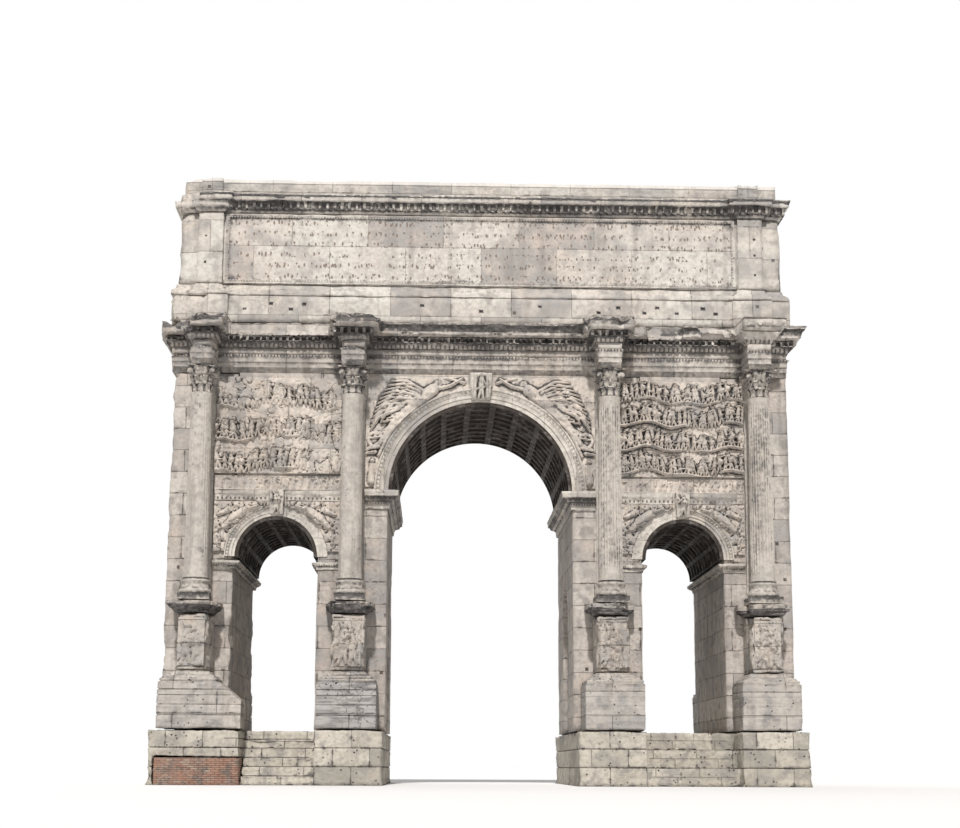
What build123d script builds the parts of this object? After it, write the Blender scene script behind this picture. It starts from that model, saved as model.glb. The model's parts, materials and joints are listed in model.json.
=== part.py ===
"""Triple triumphal arch of marble, with free-standing columns, a hollow attic and weathered cornices."""
import os
from math import cos, pi, sin

from build123d import *

os.makedirs("parts", exist_ok=True)

# Driving dimensions, in millimetres.
# Plan of the front, from the middle of the main passage outwards.
main_span = 6870
main_margin = 885
pilaster_width = 900
side_margin = 820
side_span = 3040
corner_width = 835

# Depth, from the front wall to the back wall and out to the columns.
body_depth = 7200
column_offset = 920

# Heights of the masonry below the pedestals and of the passages above it.
base_height = 1950
main_spring_height = 8840
side_spring_height = 6350
side_stilt = 170
cross_span = 2200
cross_spring_height = 4490

# Steps of the base between the pedestals.
step_run = 1800
left_steps = 6
right_steps = 3
base_overhang = 60

# Broken footing and brick repair under the outer left pedestal.
footing_width = 760
footing_depth = 1300
footing_height = 1000
footing_slope = 650
repair_height = 950
repair_depth = 1700

# Pedestals.
plinth_width = 2150
plinth_height = 1650
pedestal_foot_height = 420
die_width = 1270
die_height = 2050
die_panel_margin = 150
die_panel_depth = 45
pedestal_cap_height = 460
pedestal_cap_width = 1900

# Columns: base, shaft and capital.
column_plinth_width = 1240
column_plinth_height = 260
column_base_height = 840
shaft_height = 6860
shaft_bottom_diameter = 900
shaft_top_diameter = 790
flute_count = 24
flute_depth = 42
capital_height = 1050
abacus_width = 1260
abacus_height = 120

# Pilasters behind the columns.
pilaster_depth = 150

# Mouldings around the arches.
main_archivolt_width = 540
side_archivolt_width = 390
archivolt_depth = 130
main_keystone_width = 900
main_keystone_depth = 520
side_keystone_width = 550
side_keystone_depth = 360
main_impost_height = 690
main_impost_projection = 420
side_impost_height = 330
side_impost_projection = 230
coffer_depth = 90
coffer_backing = 40
coffer_share = 0.75

# Bands and panels over the side arches.
string_height = 430
string_projection = 130
string_gap = 160
small_frieze_height = 530
panel_depth = 70
panel_gap = 80
panel_top_gap = 200

# Entablature.
ressaut_width = 850
architrave_height = 700
architrave_crown = 110
frieze_height = 270
cornice_height = 950
cornice_projection = 720
ring_thickness = 1000

# Attic.
attic_setback = 80
socle_height = 1050
socle_projection = 270
attic_base_height = 490
attic_wall_height = 2850
attic_wall_thickness = 1200
attic_cornice_height = 720
attic_cornice_projection = 400
parapet_height = 690
parapet_thickness = 600
parapet_setback = 90
attic_pilaster_width = 1000
attic_pilaster_depth = 180
inscription_depth = 90
inscription_border = 150

# Damage of the cornices on the front. Stretches are shares of the side bay's width, from the main arch outwards.
left_break = (0.12, 0.87)
right_break = (0.24, 0.51)
undercut_break = (0.67, 0.84)
corner_loss = 320
attic_corner_loss = 420
corner_flank = 2200
ressaut_loss = 320
patch_flare = 560

# Places worked out from the dimensions.
half_main = main_span / 2
inner_column_x = half_main + main_margin + pilaster_width / 2
side_inner_x = inner_column_x + pilaster_width / 2 + side_margin
side_centre_x = side_inner_x + side_span / 2
side_outer_x = side_inner_x + side_span
outer_column_x = side_outer_x + side_margin + pilaster_width / 2
half_width = outer_column_x + pilaster_width / 2 + corner_width
half_depth = body_depth / 2
column_xs = (-outer_column_x, -inner_column_x, inner_column_x, outer_column_x)

floor_z = base_height
plinth_top_z = floor_z + plinth_height
die_bottom_z = plinth_top_z + pedestal_foot_height
die_top_z = die_bottom_z + die_height
column_z = die_top_z + pedestal_cap_height
shaft_z = column_z + column_base_height
capital_z = shaft_z + shaft_height
architrave_z = capital_z + capital_height
frieze_z = architrave_z + architrave_height
cornice_z = frieze_z + frieze_height
socle_z = cornice_z + cornice_height
attic_base_z = socle_z + socle_height
attic_wall_z = attic_base_z + attic_base_height
attic_cornice_z = attic_wall_z + attic_wall_height
parapet_z = attic_cornice_z + attic_cornice_height
top_z = parapet_z + parapet_height

main_spring_z = floor_z + main_spring_height
main_crown_z = main_spring_z + half_main
side_spring_z = floor_z + side_spring_height
side_crown_z = side_spring_z + side_span / 2
cross_spring_z = floor_z + cross_spring_height
string_z = side_crown_z + side_archivolt_width + string_gap
small_frieze_z = string_z + string_height
panel_z = small_frieze_z + small_frieze_height + panel_gap
panel_top_z = architrave_z - panel_top_gap
bay_inner_x = inner_column_x + pilaster_width / 2
bay_outer_x = outer_column_x - pilaster_width / 2
bay_width = bay_outer_x - bay_inner_x

attic_half_width = half_width - attic_setback
attic_half_depth = half_depth - attic_setback


def finish(part, label):
    """Label a finished piece and write it."""
    part.label = label
    export_step(part, f"parts/{label}.step")
    print(label, "solids", len(part.solids()), "volume m3", round(part.volume / 1e9, 2))


def quarter(start, end, steps, hollow=False):
    """Points of a quarter-round between two (height, projection) points, bulging out or hollow."""
    points = []
    for i in range(1, steps + 1):
        turn = pi / 2 * i / steps
        rise, reach = (1 - cos(turn), sin(turn)) if not hollow else (sin(turn), 1 - cos(turn))
        points.append((start[0] + (end[0] - start[0]) * rise, start[1] + (end[1] - start[1]) * reach))
    return points


def cyma(start, end, steps=2):
    """Points of an S-shaped moulding: hollow below, round above."""
    middle = ((start[0] + end[0]) / 2, (start[1] + end[1]) / 2)
    return quarter(start, middle, steps, hollow=True) + quarter(middle, end, steps)


def body_outline(out, block_half_width, block_xs, block_depth, x_half, y_half):
    """Corners of the body's plan, with a block standing out over each place, all moved out by one amount."""
    front = []
    wall = y_half + out
    for x in block_xs:
        reach = wall + block_depth
        left, right = x - block_half_width - out, x + block_half_width + out
        front += [(left, -wall), (left, -reach), (right, -reach), (right, -wall)]
    back = [(-x, -y) for x, y in front]
    return ([(-x_half - out, -wall)] + front + [(x_half + out, -wall), (x_half + out, wall)]
            + back + [(-x_half - out, wall)])


def entablature_outline(out):
    """Plan of the entablature, with a ressaut over each column."""
    return body_outline(out, ressaut_width / 2, column_xs, column_offset + ressaut_width / 2,
                        half_width, half_depth)


def attic_outline(out):
    """Plan of the attic, with a pilaster near each corner."""
    return body_outline(out, attic_pilaster_width / 2, (-outer_column_x, outer_column_x),
                        attic_pilaster_depth, attic_half_width, attic_half_depth)


def stack(levels, outline):
    """Loft one moulded band through its plans: levels are (height, projection) pairs."""
    with BuildPart() as band:
        for height, out in levels:
            with BuildSketch(Plane.XY.offset(height)):
                with BuildLine():
                    Polyline(*outline(out), close=True)
                make_face()
        loft(ruled=True)
    return band.part


def hollow_band(levels, outline, x_half, y_half):
    """A moulded band around a rectangular core."""
    low, high = levels[0][0], levels[-1][0]
    with BuildPart() as ring:
        add(stack(levels, outline))
        with BuildSketch(Plane.XY.offset(low)):
            Rectangle(2 * x_half, 2 * y_half)
        extrude(amount=high - low, mode=Mode.SUBTRACT)
    return ring.part


def block(x0, x1, y0, y1, z0, z1):
    """A plain rectangular mass between two corners."""
    with BuildPart() as mass:
        with BuildSketch(Plane.XY.offset(z0)):
            with Locations(((x0 + x1) / 2, (y0 + y1) / 2)):
                Rectangle(x1 - x0, y1 - y0)
        extrude(amount=z1 - z0)
    return mass.part


def barrel(x, spring_z, span, bottom_z):
    """The space of a vaulted passage that runs from front to back."""
    with BuildPart() as space:
        with BuildSketch(Plane.XZ):
            with Locations((x, spring_z)):
                Circle(span / 2)
            with Locations((x, (spring_z + bottom_z) / 2)):
                Rectangle(span, spring_z - bottom_z)
        extrude(amount=body_depth, both=True)
    return space.part


# Base: two masses under the piers, with steps up to the side passages.
base_reach = half_depth + column_offset + plinth_width / 2 + base_overhang
step_inner_x = inner_column_x + plinth_width / 2 + base_overhang
step_outer_x = outer_column_x - plinth_width / 2 - base_overhang
footing_x = step_outer_x - footing_width


def base(side, steps, outer_ends):
    """One half of the base, stepped between the pedestals; outer_ends end the steps at the front and the back."""
    inner = half_main
    outer = half_width + base_overhang
    with BuildPart() as mass:
        add(block(min(side * inner, side * outer), max(side * inner, side * outer),
                  -base_reach, base_reach, 0, floor_z))
        for face, outer_end in zip((-1, 1), outer_ends):
            step_half = (outer_end - step_inner_x) / 2
            with BuildSketch(Plane.YZ.offset(side * (outer_end + step_inner_x) / 2)):
                with BuildLine():
                    corners = [(face * (base_reach + base_overhang), floor_z + base_overhang)]
                    corners.append((face * (base_reach - step_run), floor_z + base_overhang))
                    for i in range(steps):
                        y = base_reach - step_run + step_run * i / steps
                        corners.append((face * y, floor_z * (1 - i / steps)))
                        corners.append((face * y, floor_z * (1 - (i + 1) / steps)))
                    corners[-1] = (face * (base_reach - step_run / steps), -base_overhang)
                    corners.append((face * (base_reach + base_overhang), -base_overhang))
                    Polyline(*corners, close=True)
                make_face()
            extrude(amount=step_half, both=True, mode=Mode.SUBTRACT)
    return mass.part


finish(base(1, right_steps, (step_outer_x, step_outer_x)), "base_right")

repair_x = outer_column_x + plinth_width / 2
with BuildPart() as brick_repair:
    add(block(-repair_x, -footing_x, -base_reach, -base_reach + repair_depth, 0, repair_height))
finish(brick_repair.part, "brick_repair")

with BuildPart() as base_left:
    add(base(-1, left_steps, (footing_x, step_outer_x)))
    add(brick_repair.part, mode=Mode.SUBTRACT)
finish(base_left.part, "base_left")

# Piers: the outer pair are plain, the inner pair are pierced by a cross passage.
for side, word in ((-1, "left"), (1, "right")):
    x0, x1 = sorted((side * side_outer_x, side * half_width))
    finish(block(x0, x1, -half_depth, half_depth, floor_z, architrave_z), f"outer_pier_{word}")

    x0, x1 = sorted((side * half_main, side * side_inner_x))
    with BuildPart() as inner_pier:
        add(block(x0, x1, -half_depth, half_depth, floor_z, architrave_z))
        with BuildSketch(Plane.YZ.offset((x0 + x1) / 2)):
            with Locations((0, cross_spring_z)):
                Circle(cross_span / 2)
            with Locations((0, (cross_spring_z + floor_z) / 2)):
                Rectangle(cross_span, cross_spring_z - floor_z)
        extrude(amount=x1 - x0, both=True, mode=Mode.SUBTRACT)
    finish(inner_pier.part, f"inner_pier_{word}")

# Vaults: the masonry between the piers, over each passage.
with BuildPart() as main_vault:
    add(block(-half_main, half_main, -half_depth, half_depth, main_spring_z, architrave_z))
    add(barrel(0, main_spring_z, main_span, floor_z), mode=Mode.SUBTRACT)
finish(main_vault.part, "main_vault")

for side, word in ((-1, "left"), (1, "right")):
    x0, x1 = sorted((side * side_inner_x, side * side_outer_x))
    with BuildPart() as side_vault:
        add(block(x0, x1, -half_depth, half_depth, side_spring_z, architrave_z))
        add(barrel(side * side_centre_x, side_spring_z, side_span, floor_z), mode=Mode.SUBTRACT)
    finish(side_vault.part, f"side_vault_{word}")


def coffers(x, spring_z, span, around, along):
    """The coffered lining of a vault: a half ring with rows of sunk panels, one row for each bay of its length."""
    outer = span / 2
    back = outer - coffer_backing
    inner = back - coffer_depth
    pitch = body_depth / along
    half_turn = pi / around / 2 * coffer_share
    with BuildPart() as row:
        with BuildSketch(Plane.XZ):
            for i in range(around):
                turn = pi * (i + 0.5) / around
                cell = [(x + r * cos(turn + a), spring_z + r * sin(turn + a))
                        for r, a in ((inner - coffer_depth, -half_turn), (back, -half_turn),
                                     (back, half_turn), (inner - coffer_depth, half_turn))]
                with BuildLine():
                    Polyline(*cell, close=True)
                make_face()
        extrude(amount=pitch * coffer_share / 2, both=True)
    with BuildPart() as lining:
        with BuildSketch(Plane.XZ):
            with Locations((x, spring_z)):
                Circle(outer)
                Circle(inner, mode=Mode.SUBTRACT)
            with Locations((x, spring_z - outer)):
                Rectangle(2 * span, span, mode=Mode.SUBTRACT)
        extrude(amount=half_depth, both=True)
        with GridLocations(pitch, pitch, 1, along):
            add(row.part, mode=Mode.SUBTRACT)
    return lining.part


with BuildPart() as vault_coffers:
    add(coffers(0, main_spring_z, main_span, 11, 9))
    for side in (-1, 1):
        add(coffers(side * side_centre_x, side_spring_z, side_span, 7, 11))
finish(vault_coffers.part, "vault_coffers")


# Pedestals, front and back.
def pedestal_outline(x, face, half):
    """Plan of a pedestal's course: it stands out from the wall around the column's axis."""
    def outline(out):
        reach = half_depth + column_offset + half + out
        corners = [(x - half - out, face * half_depth), (x - half - out, face * reach),
                   (x + half + out, face * reach), (x + half + out, face * half_depth)]
        return corners if face > 0 else corners[::-1]
    return outline


plinth_half = plinth_width / 2
die_half = die_width / 2
cap_reach = (pedestal_cap_width - die_width) / 2
foot_reach = (plinth_width - die_width) / 2 - 40

plinth_levels = [(floor_z, 0), (plinth_top_z, 0)]
foot = [(plinth_top_z, foot_reach), (plinth_top_z + pedestal_foot_height * 0.30, foot_reach),
        (plinth_top_z + pedestal_foot_height * 0.36, foot_reach * 0.78)]
foot += cyma((plinth_top_z + pedestal_foot_height * 0.36, foot_reach * 0.78),
             (die_bottom_z - pedestal_foot_height * 0.12, foot_reach * 0.16))
foot.append((die_bottom_z, 0))
cap = [(die_top_z, 0), (die_top_z + pedestal_cap_height * 0.12, cap_reach * 0.18)]
cap += cyma(cap[-1], (die_top_z + pedestal_cap_height * 0.50, cap_reach * 0.74))
cap.append((die_top_z + pedestal_cap_height * 0.55, cap_reach * 0.92))
cap.append((die_top_z + pedestal_cap_height * 0.80, cap_reach * 0.94))
cap.append((column_z, cap_reach))

with BuildPart() as footing:
    with BuildSketch(Plane.XZ.offset(half_depth + column_offset + plinth_half)):
        with BuildLine():
            Polyline((-outer_column_x, floor_z), (-footing_x, floor_z), (-footing_x, floor_z + footing_height),
                     (-step_outer_x, floor_z + footing_slope + footing_height), (-outer_column_x, plinth_top_z),
                     close=True)
        make_face()
    extrude(amount=-footing_depth)

for face, word in ((-1, "front"), (1, "back")):
    with BuildPart() as plinths:
        for x in column_xs:
            add(stack(plinth_levels, pedestal_outline(x, face, plinth_half)))
            add(stack(foot, pedestal_outline(x, face, die_half)))
        if face < 0:
            add(footing.part)
    finish(plinths.part, f"pedestal_plinths_{word}")

    with BuildPart() as dies:
        for x in column_xs:
            add(stack([(die_bottom_z, 0), (die_top_z, 0)], pedestal_outline(x, face, die_half)))
            panel_y = face * (half_depth + column_offset + die_half)
            with BuildSketch(Plane.XZ.offset(-panel_y)):
                with Locations((x, (die_bottom_z + die_top_z) / 2)):
                    Rectangle(die_width - 2 * die_panel_margin, die_height - 2 * die_panel_margin)
            extrude(amount=face * die_panel_depth, mode=Mode.SUBTRACT)
    finish(dies.part, f"pedestal_dies_{word}")

    with BuildPart() as caps:
        for x in column_xs:
            add(stack(cap, pedestal_outline(x, face, die_half)))
    finish(caps.part, f"pedestal_caps_{word}")

# Columns: the base is turned on a square plinth.
base_top_radius = shaft_bottom_diameter / 2 + 45
torus_reach = column_plinth_width / 2 - 15
turned_height = column_base_height - column_plinth_height
with BuildPart() as column_base:
    with BuildSketch():
        Rectangle(column_plinth_width, column_plinth_width)
    extrude(amount=column_plinth_height)
    with BuildSketch(Plane.XZ):
        with BuildLine():
            low = column_plinth_height
            z1 = low + turned_height * 0.34
            z2 = low + turned_height * 0.40
            z3 = low + turned_height * 0.64
            z4 = low + turned_height * 0.70
            z5 = low + turned_height * 0.92
            neck = torus_reach - 95
            upper = torus_reach - 60
            Polyline((0, low), (torus_reach - 50, low))
            ThreePointArc((torus_reach - 50, low), (torus_reach, (low + z1) / 2), (torus_reach - 50, z1))
            Line((torus_reach - 50, z1), (torus_reach - 60, z2))
            ThreePointArc((torus_reach - 60, z2), (neck - 10, (z2 + z3) / 2), (neck + 10, z3))
            Line((neck + 10, z3), (neck + 15, z4))
            ThreePointArc((neck + 15, z4), (upper, (z4 + z5) / 2), (neck + 15, z5))
            Polyline((neck + 15, z5), (base_top_radius, z5), (base_top_radius, column_base_height),
                     (0, column_base_height), (0, low))
        make_face()
    revolve(axis=Axis.Z)


def flute_section(diameter):
    """Section of a fluted shaft."""
    flute_radius = pi * diameter / flute_count * 0.36
    Circle(diameter / 2)
    with PolarLocations(diameter / 2 + flute_radius - flute_depth, flute_count):
        Circle(flute_radius, mode=Mode.SUBTRACT)


ring_height = 90
with BuildPart() as shaft:
    with BuildSketch():
        Circle(base_top_radius - 10)
    extrude(amount=ring_height)
    with BuildSketch(Plane.XY.offset(ring_height)):
        flute_section(shaft_bottom_diameter)
    with BuildSketch(Plane.XY.offset(shaft_height - ring_height)):
        flute_section(shaft_top_diameter)
    loft(ruled=True)
    with BuildSketch(Plane.XY.offset(shaft_height - ring_height)):
        Circle(shaft_top_diameter / 2 + 30)
    extrude(amount=ring_height)

# Capital: a bell with two rows of leaves, corner volutes and a hollow-sided abacus.
bell_bottom = shaft_top_diameter / 2 - 25
bell_height = capital_height - abacus_height
leaf_width = bell_bottom * 0.66
volute_radius = capital_height * 0.15
corner_reach = abacus_width / 2 * 1.18
with BuildPart() as leaf:
    with BuildSketch(Plane.XZ):
        with BuildLine():
            Polyline((bell_bottom * 0.8, 0), (bell_bottom + 40, 0))
            Spline((bell_bottom + 40, 0), (bell_bottom + 55, bell_height * 0.24),
                   (bell_bottom + 130, bell_height * 0.36))
            Line((bell_bottom + 130, bell_height * 0.36), (bell_bottom + 90, bell_height * 0.40))
            Spline((bell_bottom + 90, bell_height * 0.40), (bell_bottom, bell_height * 0.36),
                   (bell_bottom * 0.8, bell_height * 0.20))
            Line((bell_bottom * 0.8, bell_height * 0.20), (bell_bottom * 0.8, 0))
        make_face()
    extrude(amount=leaf_width / 2, both=True)

with BuildPart() as volute:
    with BuildSketch(Plane.XZ):
        with Locations((corner_reach - volute_radius, bell_height - volute_radius)):
            Circle(volute_radius)
    extrude(amount=volute_radius * 0.55, both=True)

with BuildPart() as capital:
    with BuildSketch(Plane.XZ):
        with BuildLine():
            Polyline((0, 0), (bell_bottom, 0), (bell_bottom + 15, bell_height * 0.72))
            Spline((bell_bottom + 15, bell_height * 0.72), (bell_bottom + 60, bell_height * 0.84),
                   (bell_bottom + 150, bell_height))
            Polyline((bell_bottom + 150, bell_height), (0, bell_height), (0, 0))
        make_face()
    revolve(axis=Axis.Z)
    with PolarLocations(0, 8):
        add(leaf.part)
    with Locations((0, 0, bell_height * 0.30)):
        with PolarLocations(0, 8, start_angle=22.5):
            add(leaf.part)
    with PolarLocations(0, 4, start_angle=45):
        add(volute.part)
    with BuildSketch(Plane.XY.offset(bell_height)):
        Rectangle(abacus_width, abacus_width)
        with PolarLocations(abacus_width * 1.55, 4):
            Circle(abacus_width * 1.15, mode=Mode.SUBTRACT)
    extrude(amount=abacus_height)
    with PolarLocations(abacus_width * 0.40, 4):
        with Locations((0, 0, capital_height - abacus_height / 2)):
            Box(abacus_width * 0.12, abacus_width * 0.16, abacus_height)

for face, word in ((-1, "front"), (1, "back")):
    axis_y = face * (half_depth + column_offset)
    with BuildPart() as column_bases:
        with Locations(*[(x, axis_y, column_z) for x in column_xs]):
            add(column_base.part)
    finish(column_bases.part, f"column_bases_{word}")
    with BuildPart() as shafts:
        with Locations(*[(x, axis_y, shaft_z) for x in column_xs]):
            add(shaft.part)
    finish(shafts.part, f"column_shafts_{word}")
    with BuildPart() as capitals:
        with Locations(*[(x, axis_y, capital_z) for x in column_xs]):
            add(capital.part)
    finish(capitals.part, f"capitals_{word}")


# Pilasters against the wall behind each column.
def pilaster_outline(x, face):
    """Plan of a pilaster against the wall."""
    def outline(out):
        reach = half_depth + pilaster_depth + out
        half = pilaster_width / 2 + out
        corners = [(x - half, face * half_depth), (x - half, face * reach),
                   (x + half, face * reach), (x + half, face * half_depth)]
        return corners if face > 0 else corners[::-1]
    return outline


pilaster_levels = [(column_z, 70), (column_z + column_plinth_height, 70),
                   (shaft_z - 60, 10), (shaft_z, 0), (capital_z, 0), (capital_z + 20, 30),
                   (capital_z + capital_height * 0.7, 50), (capital_z + bell_height, 100),
                   (architrave_z, 105)]
with BuildPart() as pilasters:
    for face in (-1, 1):
        for x in column_xs:
            add(stack(pilaster_levels, pilaster_outline(x, face)))
finish(pilasters.part, "pilasters")


# Keystones: wedges that stand out more at the top.
def keystone(x, bottom_z, wedge_top_z, top_z_, width, depth, face):
    """A tapered keystone on the wall's face, with a straight block above the wedge."""
    sections = [(bottom_z, width * 0.80, depth * 0.55), (wedge_top_z, width, depth), (top_z_, width, depth)]
    with BuildPart() as stone:
        for height, wide, deep in sections[:2] if top_z_ == wedge_top_z else sections:
            with BuildSketch(Plane.XY.offset(height)):
                with Locations((x, face * (half_depth + deep / 2))):
                    Rectangle(wide, deep)
        loft(ruled=True)
    return stone.part


with BuildPart() as keystones:
    for face in (-1, 1):
        add(keystone(0, main_crown_z, architrave_z, architrave_z, main_keystone_width, main_keystone_depth, face))
        for side in (-1, 1):
            add(keystone(side * side_centre_x, side_crown_z, string_z, small_frieze_z,
                         side_keystone_width, side_keystone_depth, face))
finish(keystones.part, "keystones")


# Archivolts: three fasciae stepping out to an outer moulding.
def archivolt(x, spring_z, span, width, face):
    """A moulded half ring on the wall's face around an arch."""
    inner = span / 2
    bands = [(0.0, 0.30), (0.30, 0.62), (0.62, 0.78), (0.78, 1.0)]
    depths = [0.35, 0.55, 0.80, 1.0]
    with BuildPart() as ring:
        for (start, end), share in zip(bands, depths):
            with BuildSketch(Plane.XZ.offset(-face * half_depth)):
                with Locations((x, spring_z)):
                    Circle(inner + width * end)
                    Circle(inner + width * start, mode=Mode.SUBTRACT)
                with Locations((x, spring_z - span)):
                    Rectangle(4 * span, 2 * span, mode=Mode.SUBTRACT)
            extrude(amount=-face * archivolt_depth * share)
    return ring.part


with BuildPart() as archivolts:
    for face in (-1, 1):
        add(archivolt(0, main_spring_z, main_span, main_archivolt_width, face))
        for side in (-1, 1):
            add(archivolt(side * side_centre_x, side_spring_z, side_span, side_archivolt_width, face))
    add(keystones.part, mode=Mode.SUBTRACT)
finish(archivolts.part, "archivolts")


# Imposts: moulded bands around the piers, under the springing of each arch.
def impost(x_jamb, x_end, low, high, reach):
    """A band that runs along the passage and returns across both faces to a pilaster."""
    toward = 1 if x_end > x_jamb else -1
    height = high - low
    steps = [(low, reach * 0.12), (low + height * 0.28, reach * 0.18)]
    steps += cyma(steps[-1], (low + height * 0.62, reach * 0.72))
    steps.append((low + height * 0.66, reach * 0.92))
    steps.append((low + height * 0.85, reach * 0.94))
    steps.append((high, reach))

    def outline(out):
        left, right = sorted((x_jamb - toward * out, x_end))
        y = half_depth + out
        return [(left, -y), (right, -y), (right, y), (left, y)]
    inside, outside = sorted((x_jamb, x_end + toward * reach))
    with BuildPart() as band:
        add(stack(steps, outline))
        add(block(inside, outside, -half_depth, half_depth, low, high), mode=Mode.SUBTRACT)
    return band.part


side_impost_top = side_spring_z - side_stilt
with BuildPart() as imposts:
    for side in (-1, 1):
        add(impost(side * half_main, side * (inner_column_x - pilaster_width / 2),
                   main_spring_z - main_impost_height, main_spring_z, main_impost_projection))
        for x_jamb, x_end in ((side_inner_x, bay_inner_x), (side_outer_x, bay_outer_x)):
            add(impost(side * x_jamb, side * x_end, side_impost_top - side_impost_height,
                       side_impost_top, side_impost_projection))
finish(imposts.part, "imposts")


# Bands and relief panels over the side arches, between the pilasters.
def wall_band(x0, x1, levels, face):
    """A moulded band on the wall between two places."""
    def outline(out):
        y0, y1 = sorted((face * half_depth, face * (half_depth + out)))
        return [(x0, y0), (x1, y0), (x1, y1), (x0, y1)]
    return stack(levels, outline)


string_levels = [(string_z, 30), (string_z + string_height * 0.35, 45)]
string_levels += cyma(string_levels[-1], (string_z + string_height * 0.75, string_projection * 0.9))
string_levels.append((small_frieze_z, string_projection))
with BuildPart() as string_courses:
    for face in (-1, 1):
        for side in (-1, 1):
            x0, x1 = sorted((side * bay_inner_x, side * bay_outer_x))
            add(wall_band(x0, x1, string_levels, face))
    add(keystones.part, mode=Mode.SUBTRACT)
finish(string_courses.part, "string_courses")

with BuildPart() as small_friezes:
    for face in (-1, 1):
        for side in (-1, 1):
            x0, x1 = sorted((side * bay_inner_x, side * bay_outer_x))
            levels = [(small_frieze_z, panel_depth), (small_frieze_z + small_frieze_height, panel_depth)]
            add(wall_band(x0, x1, levels, face))
finish(small_friezes.part, "small_friezes")

with BuildPart() as relief_panels:
    for face in (-1, 1):
        for side in (-1, 1):
            x0, x1 = sorted((side * bay_inner_x, side * bay_outer_x))
            add(wall_band(x0, x1, [(panel_z, panel_depth), (panel_top_z, panel_depth)], face))
    add(pilasters.part, mode=Mode.SUBTRACT)
finish(relief_panels.part, "relief_panels")

# Entablature: three moulded bands around a core, each with a ressaut over every column.
core_x = half_width - ring_thickness
core_y = half_depth - ring_thickness
fascia = (architrave_height - architrave_crown) / 3
architrave_levels = [(architrave_z, 0), (architrave_z + fascia, 0), (architrave_z + fascia + 5, 20),
                     (architrave_z + 2 * fascia, 20), (architrave_z + 2 * fascia + 5, 40),
                     (architrave_z + 3 * fascia, 40), (architrave_z + 3 * fascia + 30, 70),
                     (frieze_z - 40, 110), (frieze_z, 115)]
frieze_levels = [(frieze_z, 30), (cornice_z, 30)]
bed_z = cornice_z + cornice_height * 0.19
dentil_z = cornice_z + cornice_height * 0.42
corona_z = cornice_z + cornice_height * 0.45
sima_z = cornice_z + cornice_height * 0.60
dentil_reach = cornice_projection * 0.45
corona_reach = cornice_projection * 0.78
bed_levels = [(cornice_z, 40)]
bed_levels += quarter((cornice_z, 40), (bed_z, cornice_projection * 0.24), 3)
bed_levels.append((bed_z + 20, dentil_reach))
bed_levels.append((dentil_z, dentil_reach))
cornice_levels = [(dentil_z, dentil_reach), (corona_z, corona_reach), (sima_z, corona_reach)]
cornice_levels += cyma((sima_z + 10, corona_reach + 15), (socle_z - 60, cornice_projection))
cornice_levels.append((socle_z, cornice_projection))

break_y = -half_depth - socle_projection - 30
clear_y = -half_depth - 2 * cornice_projection


def bay_break(side, shares, reaches):
    """A broken stretch of the cornice over a side bay: what is left slopes out to a reach at each end."""
    with BuildPart() as cut:
        for share, reach in zip(shares, reaches):
            with BuildSketch(Plane.YZ.offset(side * (bay_inner_x + bay_width * share))):
                with BuildLine():
                    Polyline((break_y, socle_z + 50), (break_y, sima_z + 60), (-half_depth - reach, dentil_z),
                             (clear_y, dentil_z), (clear_y, socle_z + 50), close=True)
                make_face()
        loft(ruled=True)
    return cut.part


def corner_cut(x, y, loss, front, low, high):
    """What is lost at the front left corner: a wedge in plan, deepest at the corner and running out both ways."""
    with BuildPart() as cut:
        with BuildSketch(Plane.XY.offset(low)):
            with BuildLine():
                Polyline((-x, y + corner_flank), (-x + loss, y + loss), (-x + front, y),
                         (-x + front, y - corner_flank), (-x - loss, y - corner_flank), (-x - loss, y + corner_flank),
                         close=True)
            make_face()
        extrude(amount=high - low)
    return cut.part


# The outer right ressaut is patched with one plain block whose sides slope out.
cornice_front = half_depth + cornice_projection
cornice_half = ressaut_width / 2 + cornice_projection
patch_half = ressaut_width / 2 + 40


def sloping_patch(levels):
    """Part of the patch between levels, given as (height, reach) pairs."""
    with BuildPart() as stone:
        for height, out in levels:
            side_x = patch_half + out
            front_y = -half_depth - column_offset - side_x
            with BuildSketch(Plane.XY.offset(height)):
                with BuildLine():
                    Polyline((outer_column_x - side_x, -cornice_front), (outer_column_x - side_x, front_y),
                             (outer_column_x + side_x, front_y), (outer_column_x + side_x, -cornice_front),
                             close=True)
                make_face()
        loft(ruled=True)
    return stone.part


def ressaut_room(low, high):
    """The space of the outer right ressaut's cornice, which the patch takes."""
    return block(outer_column_x - cornice_half, outer_column_x + cornice_half,
                 -half_depth - column_offset - cornice_half, -cornice_front, low, high)


finish(hollow_band(architrave_levels, entablature_outline, core_x, core_y), "architrave")
finish(hollow_band(frieze_levels, entablature_outline, core_x, core_y), "frieze")
with BuildPart() as cornice_bed:
    add(hollow_band(bed_levels, entablature_outline, core_x, core_y))
    add(ressaut_room(cornice_z, dentil_z), mode=Mode.SUBTRACT)
    add(sloping_patch([(cornice_z, 0), (dentil_z, patch_flare * 0.6)]))
finish(cornice_bed.part, "cornice_bed")

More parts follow.
